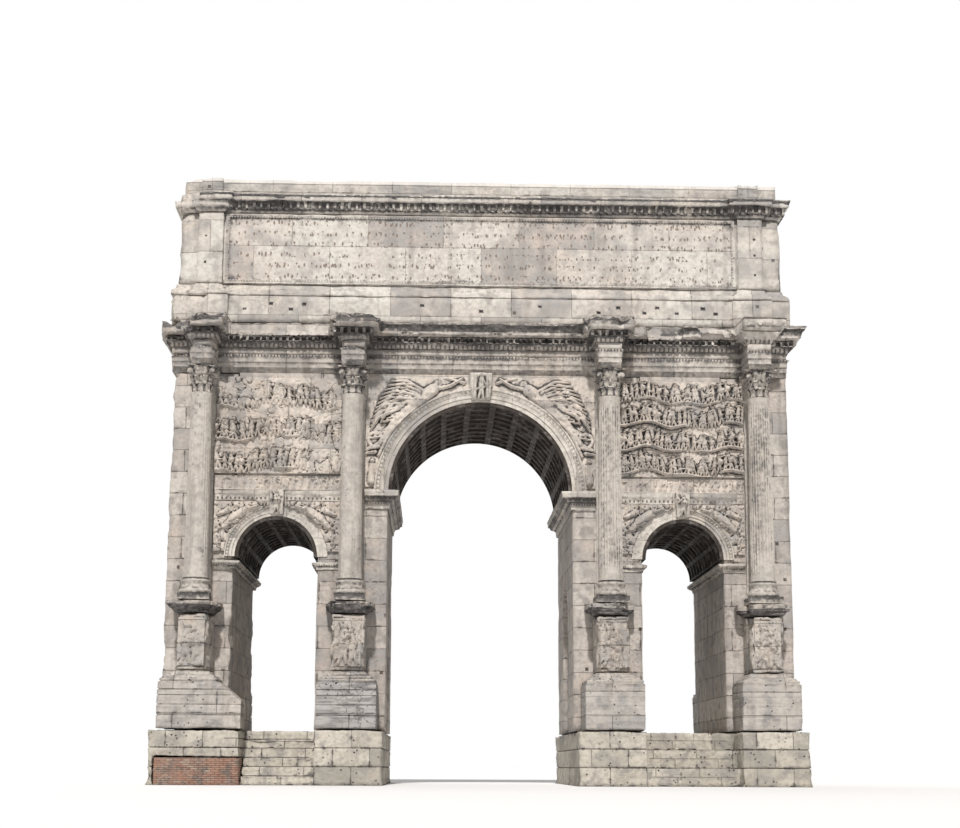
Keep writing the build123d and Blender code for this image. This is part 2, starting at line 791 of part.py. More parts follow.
with BuildPart() as cornice:
    add(hollow_band(cornice_levels, entablature_outline, core_x, core_y))
    add(bay_break(-1, left_break, (corona_reach, dentil_reach)), mode=Mode.SUBTRACT)
    add(bay_break(1, right_break, (corona_reach * 0.8, dentil_reach)), mode=Mode.SUBTRACT)
    # Beside the patch the corona has fallen from under the sima.
    add(block(bay_inner_x + bay_width * undercut_break[0], bay_inner_x + bay_width * undercut_break[1],
              clear_y, -half_depth - dentil_reach, dentil_z, sima_z), mode=Mode.SUBTRACT)
    # The corner has crumbled, and the ressaut beside it has lost its sides.
    add(corner_cut(half_width + cornice_projection, -cornice_front, corner_loss,
                   cornice_projection + corner_width, dentil_z, socle_z), mode=Mode.SUBTRACT)
    add(block(-outer_column_x + cornice_half - ressaut_loss, -outer_column_x + cornice_half, clear_y, break_y,
              dentil_z, socle_z), mode=Mode.SUBTRACT)
    add(ressaut_room(dentil_z, socle_z), mode=Mode.SUBTRACT)
    add(sloping_patch([(dentil_z, patch_flare * 0.6), (sima_z, patch_flare * 0.9), (socle_z, patch_flare)]))
finish(cornice.part, "cornice")
finish(block(-core_x, core_x, -core_y, core_y, architrave_z, socle_z), "upper_core")

# Attic: socle, base moulding, four walls around a room, pilasters, cornice, parapet and roof.
room_x = attic_half_width - attic_wall_thickness
room_y = attic_half_depth - attic_wall_thickness
socle_levels = [(socle_z, socle_projection), (attic_base_z, socle_projection)]
finish(hollow_band(socle_levels, attic_outline, room_x, room_y), "attic_socle")

attic_base_levels = [(attic_base_z, socle_projection), (attic_base_z + 110, socle_projection)]
attic_base_levels += cyma((attic_base_z + 130, socle_projection * 0.8), (attic_wall_z - 60, 50))
attic_base_levels.append((attic_wall_z, 30))
finish(hollow_band(attic_base_levels, attic_outline, room_x, room_y), "attic_base_moulding")

for face, word in ((-1, "front"), (1, "back")):
    y0, y1 = sorted((face * attic_half_depth, face * room_y))
    finish(block(-attic_half_width, attic_half_width, y0, y1, attic_wall_z, attic_cornice_z), f"attic_wall_{word}")
with BuildPart() as attic_end_walls:
    for x0, x1 in ((-attic_half_width, -room_x), (room_x, attic_half_width)):
        add(block(x0, x1, -room_y, room_y, attic_wall_z, attic_cornice_z))
finish(attic_end_walls.part, "attic_end_walls")

with BuildPart() as attic_pilasters:
    for face in (-1, 1):
        for x in (-outer_column_x, outer_column_x):
            y0, y1 = sorted((face * attic_half_depth, face * (attic_half_depth + attic_pilaster_depth)))
            add(block(x - attic_pilaster_width / 2, x + attic_pilaster_width / 2, y0, y1,
                      attic_wall_z, attic_cornice_z))
finish(attic_pilasters.part, "attic_pilasters")

inscription_half = outer_column_x - attic_pilaster_width / 2 - 60
with BuildPart() as inscription_panels:
    for face in (-1, 1):
        y0, y1 = sorted((face * attic_half_depth, face * (attic_half_depth + inscription_depth)))
        add(block(-inscription_half, inscription_half, y0, y1, attic_wall_z + 40, attic_cornice_z - 40))
        with BuildSketch(Plane.XZ.offset(-face * (attic_half_depth + inscription_depth))):
            with Locations((0, (attic_wall_z + attic_cornice_z) / 2)):
                Rectangle(2 * (inscription_half - inscription_border),
                          attic_wall_height - 80 - 2 * inscription_border)
        extrude(amount=face * inscription_depth * 0.6, mode=Mode.SUBTRACT)
finish(inscription_panels.part, "inscription_panels")

bed = attic_cornice_z + attic_cornice_height * 0.15
dentil_top = attic_cornice_z + attic_cornice_height * 0.55
attic_cornice_levels = [(attic_cornice_z, 30)]
attic_cornice_levels += quarter((attic_cornice_z, 30), (bed, attic_cornice_projection * 0.28), 2)
attic_cornice_levels.append((bed + 15, attic_cornice_projection * 0.5))
attic_cornice_levels.append((dentil_top, attic_cornice_projection * 0.52))
attic_cornice_levels.append((dentil_top + 20, attic_cornice_projection * 0.85))
attic_cornice_levels.append((dentil_top + attic_cornice_height * 0.2, attic_cornice_projection * 0.88))
attic_cornice_levels += quarter(attic_cornice_levels[-1], (parapet_z, attic_cornice_projection), 2)
roof_x = room_x + attic_wall_thickness / 3
roof_y = room_y + attic_wall_thickness / 3
with BuildPart() as attic_cornice:
    add(hollow_band(attic_cornice_levels, attic_outline, roof_x, roof_y))
    add(corner_cut(attic_half_width + attic_cornice_projection, -attic_half_depth - attic_cornice_projection,
                   attic_corner_loss, attic_cornice_projection + corner_width - attic_setback, dentil_top,
                   parapet_z), mode=Mode.SUBTRACT)
finish(attic_cornice.part, "attic_cornice")

parapet_levels = [(parapet_z, -parapet_setback), (top_z, -parapet_setback)]
finish(hollow_band(parapet_levels, attic_outline, attic_half_width - parapet_setback - parapet_thickness,
                   attic_half_depth - parapet_setback - parapet_thickness), "parapet")
finish(block(-roof_x, roof_x, -roof_y, roof_y, attic_cornice_z, parapet_z), "attic_roof")
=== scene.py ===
# %% [markdown]
# # A weathered triumphal arch
# Everything below stands on that frame: the pieces keep their places, and this file gives them their worn
# shapes and their stone.

import json
from math import ceil, cos, hypot, pi, radians, sin

import bmesh
import bpy
import numpy as np
from mathutils import Matrix, Vector


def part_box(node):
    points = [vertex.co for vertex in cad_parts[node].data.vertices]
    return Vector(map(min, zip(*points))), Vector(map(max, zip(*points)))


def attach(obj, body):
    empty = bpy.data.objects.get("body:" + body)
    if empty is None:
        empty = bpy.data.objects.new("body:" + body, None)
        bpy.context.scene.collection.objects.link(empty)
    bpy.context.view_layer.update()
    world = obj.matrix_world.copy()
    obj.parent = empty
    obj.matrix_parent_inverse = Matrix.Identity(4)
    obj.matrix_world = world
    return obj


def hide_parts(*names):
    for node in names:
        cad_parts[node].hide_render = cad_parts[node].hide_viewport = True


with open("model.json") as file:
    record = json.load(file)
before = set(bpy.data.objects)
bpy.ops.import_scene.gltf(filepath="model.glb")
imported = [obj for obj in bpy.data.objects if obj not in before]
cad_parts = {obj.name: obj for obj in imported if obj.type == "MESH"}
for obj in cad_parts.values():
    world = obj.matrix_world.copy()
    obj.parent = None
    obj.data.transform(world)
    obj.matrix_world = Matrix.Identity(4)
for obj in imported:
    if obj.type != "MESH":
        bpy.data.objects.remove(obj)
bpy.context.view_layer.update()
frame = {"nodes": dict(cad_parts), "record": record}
nodes = frame["nodes"]
print("pieces in the frame:", len(nodes))

# %% [markdown]
# The camera stands where the picture was taken: about sixty metres in front of the wall, low, looking up a
# little. The lens is long, and a small upward shift keeps the arch in the picture as it was framed.

# %% Camera
wall_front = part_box("outer_pier_left")[0][1]
floor_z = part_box("outer_pier_left")[0][2]
camera_side = -1.665
camera_distance = 59.0
camera_drop = 1.289
camera_yaw = 0.028
camera_pitch = 0.171
camera_roll = 0.004
focal_pixels = 1601.9
image_width = 960
image_height = 828
principal_row = 490.4
sensor_width = 36.0
far_end = 500.0

camera_place = Vector((camera_side, wall_front - camera_distance, floor_z - camera_drop))
camera_data = bpy.data.cameras.new("camera")
camera_data.sensor_fit = "HORIZONTAL"
camera_data.sensor_width = sensor_width
camera_data.lens = focal_pixels / image_width * sensor_width
camera_data.shift_y = (principal_row - image_height / 2) / image_width
camera_data.clip_end = far_end
camera = bpy.data.objects.new("camera", camera_data)
bpy.context.scene.collection.objects.link(camera)
turn = Matrix.Rotation(-camera_yaw, 4, "Z") @ Matrix.Rotation(pi / 2 + camera_pitch, 4, "X")
camera.matrix_world = Matrix.Translation(camera_place) @ turn @ Matrix.Rotation(camera_roll, 4, "Z")
bpy.context.scene.camera = camera
print("lens mm", round(camera_data.lens, 1), "shift", round(camera_data.shift_y, 3))

# %% [markdown]
# The light is that of a bright studio: an even white world that fills the shadows, one high lamp from the
# front, as high as the sun stood, and a faint broad lamp from behind. The camera sees the world as plain
# white paper.

# %% World
fill_strength = 0.26

scene = bpy.context.scene
scene.view_settings.view_transform = "Standard"
world = bpy.data.worlds.new("studio")
scene.world = world
world.use_nodes = True
tree = world.node_tree
fill = tree.nodes["Background"]
fill.inputs["Color"].default_value = (0.93, 0.96, 1.0, 1)
fill.inputs["Strength"].default_value = fill_strength
paper = tree.nodes.new("ShaderNodeBackground")
paper.inputs["Color"].default_value = (1, 1, 1, 1)
path = tree.nodes.new("ShaderNodeLightPath")
seen = path.outputs["Is Camera Ray"]
for ray in ("Is Glossy Ray", "Is Transmission Ray"):
    either = tree.nodes.new("ShaderNodeMath")
    either.operation = "MAXIMUM"
    tree.links.new(seen, either.inputs[0])
    tree.links.new(path.outputs[ray], either.inputs[1])
    seen = either.outputs[0]
shown = tree.nodes.new("ShaderNodeMixShader")
for socket, source in enumerate((seen, fill.outputs[0], paper.outputs[0])):
    tree.links.new(source, shown.inputs[socket])
tree.links.new(shown.outputs[0], tree.nodes["World Output"].inputs["Surface"])
print("world strength:", fill_strength)

# %% [markdown]
# A wide pale floor takes the shadow. Both lamps shine like suns, the same all over, and a wider angle
# softens them.

# %% Floor and lamps
floor_reach = 400.0
sun_height = radians(47)
sun_turn = radians(-4)
key_strength = 3.4
back_strength = 0.7

floor_mesh = bpy.data.meshes.new("floor")
bm = bmesh.new()
bmesh.ops.create_grid(bm, x_segments=1, y_segments=1, size=floor_reach)
bm.to_mesh(floor_mesh)
bm.free()
floor_paint = bpy.data.materials.new("floor_paint")
floor_paint.use_nodes = True
floor_shader = floor_paint.node_tree.nodes["Principled BSDF"]
floor_shader.inputs["Base Color"].default_value = (0.86, 0.85, 0.84, 1)
floor_shader.inputs["Roughness"].default_value = 0.9
floor_mesh.materials.append(floor_paint)
floor = bpy.data.objects.new("floor", floor_mesh)
scene.collection.objects.link(floor)


def sun_lamp(name, strength, broad, turned, colour=(1, 1, 1)):
    """Adds a lamp that shines like a sun, turned about x, y and z."""
    data = bpy.data.lights.new(name, "SUN")
    data.energy = strength
    data.angle = broad
    data.color = colour
    lamp = bpy.data.objects.new(name, data)
    lamp.rotation_euler = turned
    scene.collection.objects.link(lamp)
    print("lamp", name, strength)


sun_lamp("key", key_strength, radians(3), (pi / 2 - sun_height, 0, sun_turn), (1.0, 0.97, 0.945))
sun_lamp("back", back_strength, radians(60), (radians(-50), 0, radians(25)))

# %% [markdown]
# Every finish here is stone, so one class carries the arithmetic. It wraps a socket, and an expression on
# such values adds the Math nodes. Any other node comes from its method `node`.

# %% Arithmetic on sockets
class Wire:
    """A socket of a material, with plain arithmetic on it."""

    def __init__(self, tree, socket=None):
        self.tree = tree
        self.socket = socket

    def node(self, kind, settings, sockets, output=0):
        """Any node: its settings first, then the values or links of its sockets."""
        made = self.tree.nodes.new(kind)
        for key, value in settings.items():
            setattr(made, key, value)
        for key, value in sockets.items():
            if isinstance(value, Wire):
                self.tree.links.new(value.socket, made.inputs[key])
            else:
                made.inputs[key].default_value = value
        return Wire(self.tree, made.outputs[output])

    def math(self, operation, *values):
        """A Math node."""
        return self.node("ShaderNodeMath", {"operation": operation}, dict(enumerate(values)))

    def __add__(self, other):
        return self.math("ADD", self, other)

    def __sub__(self, other):
        return self.math("SUBTRACT", self, other)

    def __mul__(self, other):
        return self.math("MULTIPLY", self, other)

    def __rsub__(self, other):
        return self.math("SUBTRACT", other, self)

    __radd__ = __add__
    __rmul__ = __mul__

    def __abs__(self):
        return self.math("ABSOLUTE", self)

    def fraction(self):
        """What is left of it over a whole number."""
        return self.math("FRACT", self)

    def step(self, low, high):
        """A smooth step from 0 at low to 1 at high."""
        return self.node("ShaderNodeMapRange", {"interpolation_type": "SMOOTHSTEP"},
                         {"Value": self, "From Min": low, "From Max": high})

    def mix(self, first, second):
        """A colour between two, by this value."""
        return self.node("ShaderNodeMix", {"data_type": "RGBA"}, {0: self, 6: first, 7: second}, 2)

    def cloud(self, scale, detail=4.0, stretch=None):
        """Noise at this place, finer as the scale grows, or drawn out along an axis."""
        where = self
        if stretch:
            where = self.node("ShaderNodeVectorMath", {"operation": "MULTIPLY"}, {0: self, 1: stretch})
        return self.node("ShaderNodeTexNoise", {}, {"Vector": where, "Scale": scale, "Detail": detail})


# %% [markdown]
# The real arch is faced with big blocks of white marble that aged to cream, pink and grey. Rain washes the
# open faces pale, black crust stays where it is sheltered, and joints open between the blocks. One function
# makes every such finish from the object's own coordinates, so a joint runs on from one piece to the next.
# Black crust, together with the shade painted into hollows, under ledges and into deep carving, follows one
# painted attribute, and the grey veined blocks follow another, `slate`; pieces without them read them as
# zero. The passages, between the limits given for x and y, are painted darker as their shade.

# %% One function for every stone
bay_middle = 7.55
bay_half = 1.45
passage_x = (9.2, 9.6)
passage_y = (3.30, 3.585)


def stone(name, pale, warm, grey, block=(1.7, 0.82), joint=0.6, streaks=0.35, dark=0.0, pits=0.3,
          bumps=1.0, stains=0.45, clamps=0.0, marked=None, passage_shade=0.0, thin_bays=False, rows=(),
          crust_and_shade_tint=(0.062, 0.058, 0.056), coping=None, cracks=0.6):
    """A weathered stone: three tints, its block size, and how strong its joints, stains and pits are."""
    material = bpy.data.materials.new(name)
    material.use_nodes = True
    tree = material.node_tree
    shader = tree.nodes["Principled BSDF"]
    wire = Wire(tree)
    place = wire.node("ShaderNodeTexCoord", {}, {}, "Object")
    normal = wire.node("ShaderNodeNewGeometry", {}, {}, "True Normal")
    crust_and_shade = wire.node("ShaderNodeAttribute", {"attribute_name": "crust_and_shade"}, {}, "Fac")
    slate = wire.node("ShaderNodeAttribute", {"attribute_name": "slate"}, {}, "Fac")

    x = wire.node("ShaderNodeSeparateXYZ", {}, {0: place}, 0)
    y = wire.node("ShaderNodeSeparateXYZ", {}, {0: place}, 1)
    z = wire.node("ShaderNodeSeparateXYZ", {}, {0: place}, 2)
    facing = wire.node("ShaderNodeSeparateXYZ", {}, {0: normal}, 0)
    sideways = abs(facing).step(0.6, 0.8)
    along = x * (1 - sideways) + y * sideways
    wall = wire.node("ShaderNodeCombineXYZ", {}, {0: along, 1: z})
    bricks = {"Vector": wall, "Scale": 1.0, "Mortar Size": 0.012, "Mortar Smooth": 0.6, "Bias": 0.0,
              "Brick Width": block[0], "Row Height": block[1], "Color1": (0, 0, 0, 1), "Color2": (1, 1, 1, 1)}
    tint = wire.node("ShaderNodeTexBrick", {}, bricks, "Color")
    gap = wire.node("ShaderNodeTexBrick", {}, bricks, "Fac")
    near = wire.node("ShaderNodeTexBrick", {}, {**bricks, "Mortar Size": 0.055, "Mortar Smooth": 1.0}, "Fac")
    if thin_bays:
        thin = {**bricks, "Row Height": block[1] / 2, "Brick Width": block[0] * 1.2, "Mortar Size": 0.016}
        in_bay = 1 - abs(abs(x) - bay_middle).step(bay_half - 0.01, bay_half + 0.01)
        fine = wire.node("ShaderNodeTexBrick", {}, thin, "Fac")
        gap = gap * (1 - in_bay) + fine * in_bay

    broad = place.cloud(0.35)
    middle = place.cloud(1.5)
    stain = place.cloud(2.3, 8.0)
    small = place.cloud(7.0, 6.0)
    grain = place.cloud(40.0, 3.0)
    runs = place.cloud(1.0, 5.0, (2.6, 2.6, 0.22))

    colour = (broad * 0.6 + tint * 0.35).step(0.3, 0.7).mix((*pale, 1), (*warm, 1))
    colour = (middle * 0.8 + tint * 0.35).step(0.5, 0.8).mix(colour, (*grey, 1))
    colour = (small.step(0.38, 0.72) * 0.6).mix(colour, tuple(c * 0.72 for c in warm) + (1,))
    colour = (stain.step(0.50, 0.66) * stains).mix(colour, (0.30, 0.28, 0.26, 1))
    layers = place.cloud(1.0, 4.0, (1.1, 1.1, 7.0))
    veined = layers.step(0.4, 0.62).mix((0.40, 0.385, 0.375, 1), (0.19, 0.185, 0.185, 1))
    colour = (slate * (0.55 + middle * 0.6)).mix(colour, veined)
    washed = (runs.step(0.5, 0.74) * streaks).mix(colour, (0.20, 0.18, 0.165, 1))
    joints = (gap * (1 - broad.step(0.42, 0.62) * 0.85) * joint * 0.75).mix(washed, (0.10, 0.085, 0.075, 1))
    crack = (1 - abs(stain - 0.47).step(0.0, 0.012)) * broad.step(0.45, 0.65) * cracks * stains
    cracked = crack.mix(joints, (0.09, 0.08, 0.07, 1))
    chipped = near * stain.step(0.50, 0.58) * small.step(0.4, 0.55) * joint
    cracked = (chipped * 0.7).mix(cracked, (0.17, 0.15, 0.13, 1))

    specks = place.node("ShaderNodeTexVoronoi", {"feature": "F1"},
                        {"Vector": place, "Scale": 5.5}, "Distance")
    holes = (1 - specks.step(0.10, 0.2)) * middle.step(0.45, 0.6) * pits
    squares = place.node("ShaderNodeTexVoronoi", {"feature": "F1", "distance": "CHEBYCHEV"},
                         {"Vector": place, "Scale": 0.9}, "Distance")
    holes = holes.math("MAXIMUM", holes, (1 - squares.step(0.045, 0.06)) * clamps)
    pitted = holes.mix(cracked, (0.06, 0.05, 0.045, 1))
    if marked:
        row = (z * (1 / marked[0])).fraction()
        band = row.step(0.22, 0.30) * (1 - row.step(0.70, 0.78))
        spots = place.node("ShaderNodeVectorMath", {"operation": "MULTIPLY"}, {0: place, 1: marked[1]})
        dots = place.node("ShaderNodeTexVoronoi", {"feature": "F1"},
                          {"Vector": spots, "Scale": 1.0}, "Distance")
        dowels = (1 - dots.step(0.25, 0.37)) * band * (1 - broad.step(0.6, 0.8) * 0.6)
        pitted = (dowels * 0.9).mix(pitted, (0.23, 0.18, 0.145, 1))
        holes = holes + dowels * 0.5

    # Painted light and shade of the coping: pale from its height upwards, and a dark line just under it.
    if coping:
        pitted = (z.step(coping, coping + 0.02) * 0.65).mix(pitted, (0.76, 0.73, 0.68, 1))
        under = z.step(coping - 0.05, coping - 0.03) * (1 - z.step(coping - 0.02, coping))
        pitted = (under * (0.3 + middle)).mix(pitted, (0.16, 0.15, 0.14, 1))
    # The gaps between small carved leaves are painted dark, as their shade.
    for low, high, pitch in rows:
        leaf_gap_shade = abs((along * (1 / pitch)).fraction() - 0.5).step(0.26, 0.40)
        kept = 1 - broad.step(0.52, 0.7) * 0.7
        leaf_gap_shade = leaf_gap_shade * z.step(low, low + 0.012) * (1 - z.step(high - 0.012, high)) * kept
        pitted = (leaf_gap_shade * 0.8).mix(pitted, (0.08, 0.07, 0.065, 1))
        holes = holes + leaf_gap_shade * 0.6

    # Painted shade: black crust, the shade painted into hollows and under ledges, and the shade painted into
    # the passages add up here; where they are high, the colour turns black.
    soot_and_shade = crust_and_shade + dark
    if passage_shade:
        passage = (1 - abs(y).step(*passage_y)) * (1 - abs(x).step(*passage_x))
        soot_and_shade = soot_and_shade + passage * passage_shade
    black = (soot_and_shade + (small - 0.5) * 0.9 + (middle - 0.5) * 0.5).step(0.35, 0.75)
    crust_and_shade_colour = (small * 0.6 + grain * 0.4).step(0.44, 0.62)
    crust_and_shade_colour = crust_and_shade_colour.mix((*crust_and_shade_tint, 1), tuple(c * 2.6 for c in crust_and_shade_tint) + (1,))
    crusted_and_shaded = black.mix(pitted, crust_and_shade_colour)
    tree.links.new(crusted_and_shaded.socket, shader.inputs["Base Color"])
    tree.links.new((small * 0.25 + 0.68).socket, shader.inputs["Roughness"])
    shader.inputs["Specular IOR Level"].default_value = 0.25

    height = small * 0.9 + grain * 0.15 + stain * 0.9 + tint * 0.5 * joint
    height = height - gap * joint - holes * 1.2 - crack * 0.8 - chipped * 0.9
    relief = wire.node("ShaderNodeBump", {}, {"Height": height, "Distance": 0.04 * bumps, "Strength": 0.9})
    tree.links.new(relief.socket, shader.inputs["Normal"])
    return material


# %% [markdown]
# Each finish has a pale, a warm and a grey tint, and then what sets it apart. `rows` holds the heights and
# the pitch of small carved leaves, `marked` the height and fineness of the rows of dowel pits in the attic
# panel.

# %% The finishes
cream = (0.575, 0.535, 0.485)
honey = (0.52, 0.45, 0.385)
rose = (0.53, 0.455, 0.395)
ash = (0.375, 0.36, 0.345)
attic_pale = (0.66, 0.63, 0.575)
trim_pale = (0.66, 0.62, 0.56)
trim_warm = (0.57, 0.51, 0.44)
# A near-black tint for the shade painted onto the vaults and the soffit.
painted_shade_black = (0.015, 0.012, 0.011)
coping_z = 22.86
entablature_rows = ((15.885, 15.975, 0.12), (15.655, 15.69, 0.10), (16.26, 16.40, 0.17))
trim_rows = ((10.295, 10.375, 0.10), (10.43, 10.53, 0.16), (7.95, 8.0, 0.09))
finish_table = [
    # The walls are painted darker inside the passages, as their shade.
    ("wall_marble", (cream, rose, ash), dict(joint=1.0, stains=0.75, streaks=0.5, clamps=0.9, passage_shade=0.24)),
    ("attic_marble", (attic_pale, (0.62, 0.55, 0.48), ash),
     dict(block=(2.3, 1.25), joint=0.7, pits=0.15, clamps=0.7, stains=0.55, coping=coping_z)),
    ("inscribed_marble", (attic_pale, (0.62, 0.53, 0.46), ash),
     dict(block=(2.9, 1.45), joint=0.5, pits=0.0, marked=(0.42, (9.5, 1.0, 4.2)))),
    ("entablature_marble", ((0.61, 0.57, 0.52), honey, (0.36, 0.345, 0.33)),
     dict(block=(2.1, 1.9), streaks=0.6, stains=0.7, rows=entablature_rows)),
    ("relief_marble", ((0.66, 0.60, 0.535), (0.60, 0.52, 0.445), ash),
     dict(block=(1.6, 0.95), joint=0.4, pits=0.6)),
    ("trim_marble", (trim_pale, trim_warm, ash), dict(block=(1.2, 9.0), joint=0.4, pits=0.5, rows=trim_rows)),
    # The vaults are painted nearly black inside the passages, as their shade.
    ("vault_marble", (cream, rose, ash), dict(joint=1.0, stains=0.75, passage_shade=1.3, crust_and_shade_tint=painted_shade_black)),
    ("key_marble", (trim_pale, trim_warm, ash), dict(block=(9.0, 9.0), joint=0.0, pits=0.5)),
    ("column_marble", ((0.54, 0.50, 0.45), (0.53, 0.475, 0.415), (0.43, 0.415, 0.395)),
     dict(block=(30, 30), joint=0.0, streaks=0.6)),
    ("pedestal_marble", ((0.53, 0.49, 0.44), honey, (0.37, 0.36, 0.345)),
     dict(block=(3.1, 0.83), joint=1.0, pits=1.0, stains=1.0)),
    ("travertine_base", ((0.57, 0.53, 0.455), (0.47, 0.43, 0.36), (0.34, 0.32, 0.28)),
     dict(block=(1.3, 0.65), joint=1.0, pits=1.0, bumps=1.8, stains=0.8, thin_bays=True, cracks=0.0)),
    # The coffered soffit is painted nearly black, as its shade.
    ("soffit_marble", ((0.06, 0.048, 0.04), (0.05, 0.04, 0.034), (0.04, 0.034, 0.03)),
     dict(dark=0.4, crust_and_shade_tint=painted_shade_black)),
    ("core_masonry", ((0.50, 0.45, 0.38), (0.42, 0.36, 0.30), ash), dict(block=(0.6, 0.3), pits=0.8)),
    ("brick", ((0.38, 0.23, 0.165), (0.30, 0.15, 0.105), (0.40, 0.32, 0.26)),
     dict(block=(0.29, 0.075), joint=1.0)),
]
finishes = {name: stone(name, *tints, **rest) for name, tints, rest in finish_table}
for part in frame["record"]["subparts"]:
    cad_node = nodes[part["node"]]
    cad_node.data.materials.clear()
    vault = part["node"] in ("main_vault", "side_vault_left", "side_vault_right")
    cad_node.data.materials.append(finishes["vault_marble" if vault else part["material_slot"]])
print("finishes:", len(finishes))

# %% [markdown]
# Worn stone needs values that wander smoothly over space and are the same at every run. A whole-number
# scramble of the cell a point lies in, blended between neighbouring cells, gives that for many points at
# once.

# %% Numbers that wander
cell_steps = (374761393, 668265263, 2147483647)
seed_step = 974634777
last_step = 1274126177


def hashed(cells, seed):
    """A fixed scramble of whole-number cells into values from 0 to 1."""
    mixed = sum(cells[:, axis] * step for axis, step in enumerate(cell_steps)) + seed * seed_step
    mixed = (mixed ^ (mixed >> 13)) * last_step
    mixed = mixed ^ (mixed >> 16)
    return (mixed & 0xFFFF) / 0xFFFF


def noise(points, size, seed=0):
    """Smooth noise from 0 to 1 that changes over about `size` metres."""
    spots = points / size
    whole = np.floor(spots).astype(np.int64)
    part = spots - whole
    part = part * part * (3 - 2 * part)
    total = np.zeros(len(points))
    for corner in np.ndindex(2, 2, 2):
        weight = np.prod(np.where(corner, part, 1 - part), axis=1)
        total += weight * hashed(whole + np.array(corner), seed)
    return total


def rough(points, size, seed=0, octaves=3):
    """Noise with finer and fainter noise on it."""
    layers = [noise(points, size / 2 ** k, seed + k) / 2 ** k for k in range(octaves)]
    return sum(layers) / (2 - 2 ** (1 - octaves))


def patches(points, size, seed, gain, loss):
    """Noise drawn apart, so that most places are either bare or full."""
    return np.clip(rough(points, size, seed) * gain - loss, 0, 1)


def crevices(points, size, seed, width):
    """Thin winding lines, where noise crosses its middle."""
    return np.clip(1 - np.abs(rough(points, size, seed, 2) - 0.5) / width, 0, 1)


print("noise at the first corner:", noise(np.zeros((1, 3)), 1.0).round(3))


# %% [markdown]
# A block that stood outdoors for many centuries keeps its outline but loses its edges. So most pieces start
# as a merged copy of their frame piece, sliced by planes until the faces are small. Planes round a level
# joint mark where it opens, and a few faces are sunk to the square holes that clamps and dowels left.

# %% Copies cut fine
joint_half = 0.022
joint_depth = 0.09
dowel_half = 0.014
dowel_lip = 0.002
dowel_depth = 0.05


def frame_copy(name):
    """A mesh of this frame piece, merged, with its flat faces whole again."""
    bm = bmesh.new()
    bm.from_mesh(nodes[name].data)
    bmesh.ops.remove_doubles(bm, verts=bm.verts, dist=0.0005)
    bmesh.ops.dissolve_limit(bm, angle_limit=radians(0.6), verts=bm.verts, edges=bm.edges)
    return bm


def cut(bm, place, across):
    """Cuts all faces that a plane meets."""
    everything = bm.verts[:] + bm.edges[:] + bm.faces[:]
    bmesh.ops.bisect_plane(bm, geom=everything, dist=0.0001, plane_co=place, plane_no=across)


def slice_up(bm, spacing, joints=(), dowels=()):
    """Cuts the mesh into faces no longer than the spacing, cuts round joints, and sinks small holes."""
    corners = np.array([v.co[:] for v in bm.verts])
    for axis in range(3):
        low, high = corners[:, axis].min(), corners[:, axis].max()
        count = ceil((high - low) / spacing[axis])
        across = Vector((axis == 0, axis == 1, axis == 2))
        for k in range(1, count):
            cut(bm, across * (low + (high - low) * k / count), across)
    for level in joints:
        for step in (-joint_half, 0, joint_half):
            cut(bm, (0, 0, level + step), (0, 0, 1))
    fronts = [f for f in bm.faces if f.normal.y < -0.9]
    for x, z in dowels:
        face = min(fronts, key=lambda f: hypot(f.calc_center_median().x - x, f.calc_center_median().z - z))
        border = min(e.calc_length() for e in face.edges) * 0.5 - dowel_half
        if border > 0:
            bmesh.ops.inset_individual(bm, faces=[face], thickness=border)
            bmesh.ops.inset_individual(bm, faces=[face], thickness=dowel_lip)
            bmesh.ops.translate(bm, verts=face.verts, vec=(0, dowel_depth, 0))
    bmesh.ops.triangulate(bm, faces=bm.faces[:])


def pour(part, bm):
    """Adds one mesh to another and lets it go."""
    mesh = bpy.data.meshes.new("part")
    part.to_mesh(mesh)
    part.free()
    bm.from_mesh(mesh)
    bpy.data.meshes.remove(mesh)


# %% [markdown]
# Then every corner moves inwards: a little on the flat, more along the arrises, and most where a chip has
# gone. Where a slab has crumbled, nothing of its box is left but a rounded lump. Each lump has a centre, a
# half size and the ways it faces, and points outside its wandering rounded outline on those sides are drawn
# in to it.

# %% Wear
sharp_turn = 1.4
lump_unevenness = 0.30


def move_to(bm, points):
    """Moves every corner to its new point."""
    for vert, point in zip(bm.verts, points):
        vert.co = point


def crumble(points, centre, half, faces, seed):
    """Draws points in to a lump; faces holds 1 or -1 for the way that counts on an axis, 0 for both."""
    centre = np.array(centre)
    faces = np.array(faces)
    away = (points - centre) / np.array(half)
    counted = np.where(faces == 0, away, np.where(away * faces > 0, away, 0.0))
    reach = np.power((np.abs(counted) ** 5).sum(axis=1), 0.2)
    limit = 1 - lump_unevenness + lump_unevenness * (2.2 * rough(points, 0.40, seed, 3) - 0.55)
    inside = np.all(np.abs(away) < 1.45, axis=1) & (reach > limit) & (away[:, 1] * faces[1] >= 0)
    pull = np.where(inside, 1 - limit / np.maximum(reach, 0.01), 0.0)
    return points - counted * np.array(half) * pull[:, None]


def spread(values, pairs, rounds):
    """Each corner's value, averaged with its neighbours' some rounds over."""
    count = 1 + np.bincount(pairs.ravel(), minlength=len(values))
    for _ in range(rounds):
        total = values + np.bincount(pairs[:, 0], values[pairs[:, 1]], len(values))
        total += np.bincount(pairs[:, 1], values[pairs[:, 0]], len(values))
        values = total / count
    return values


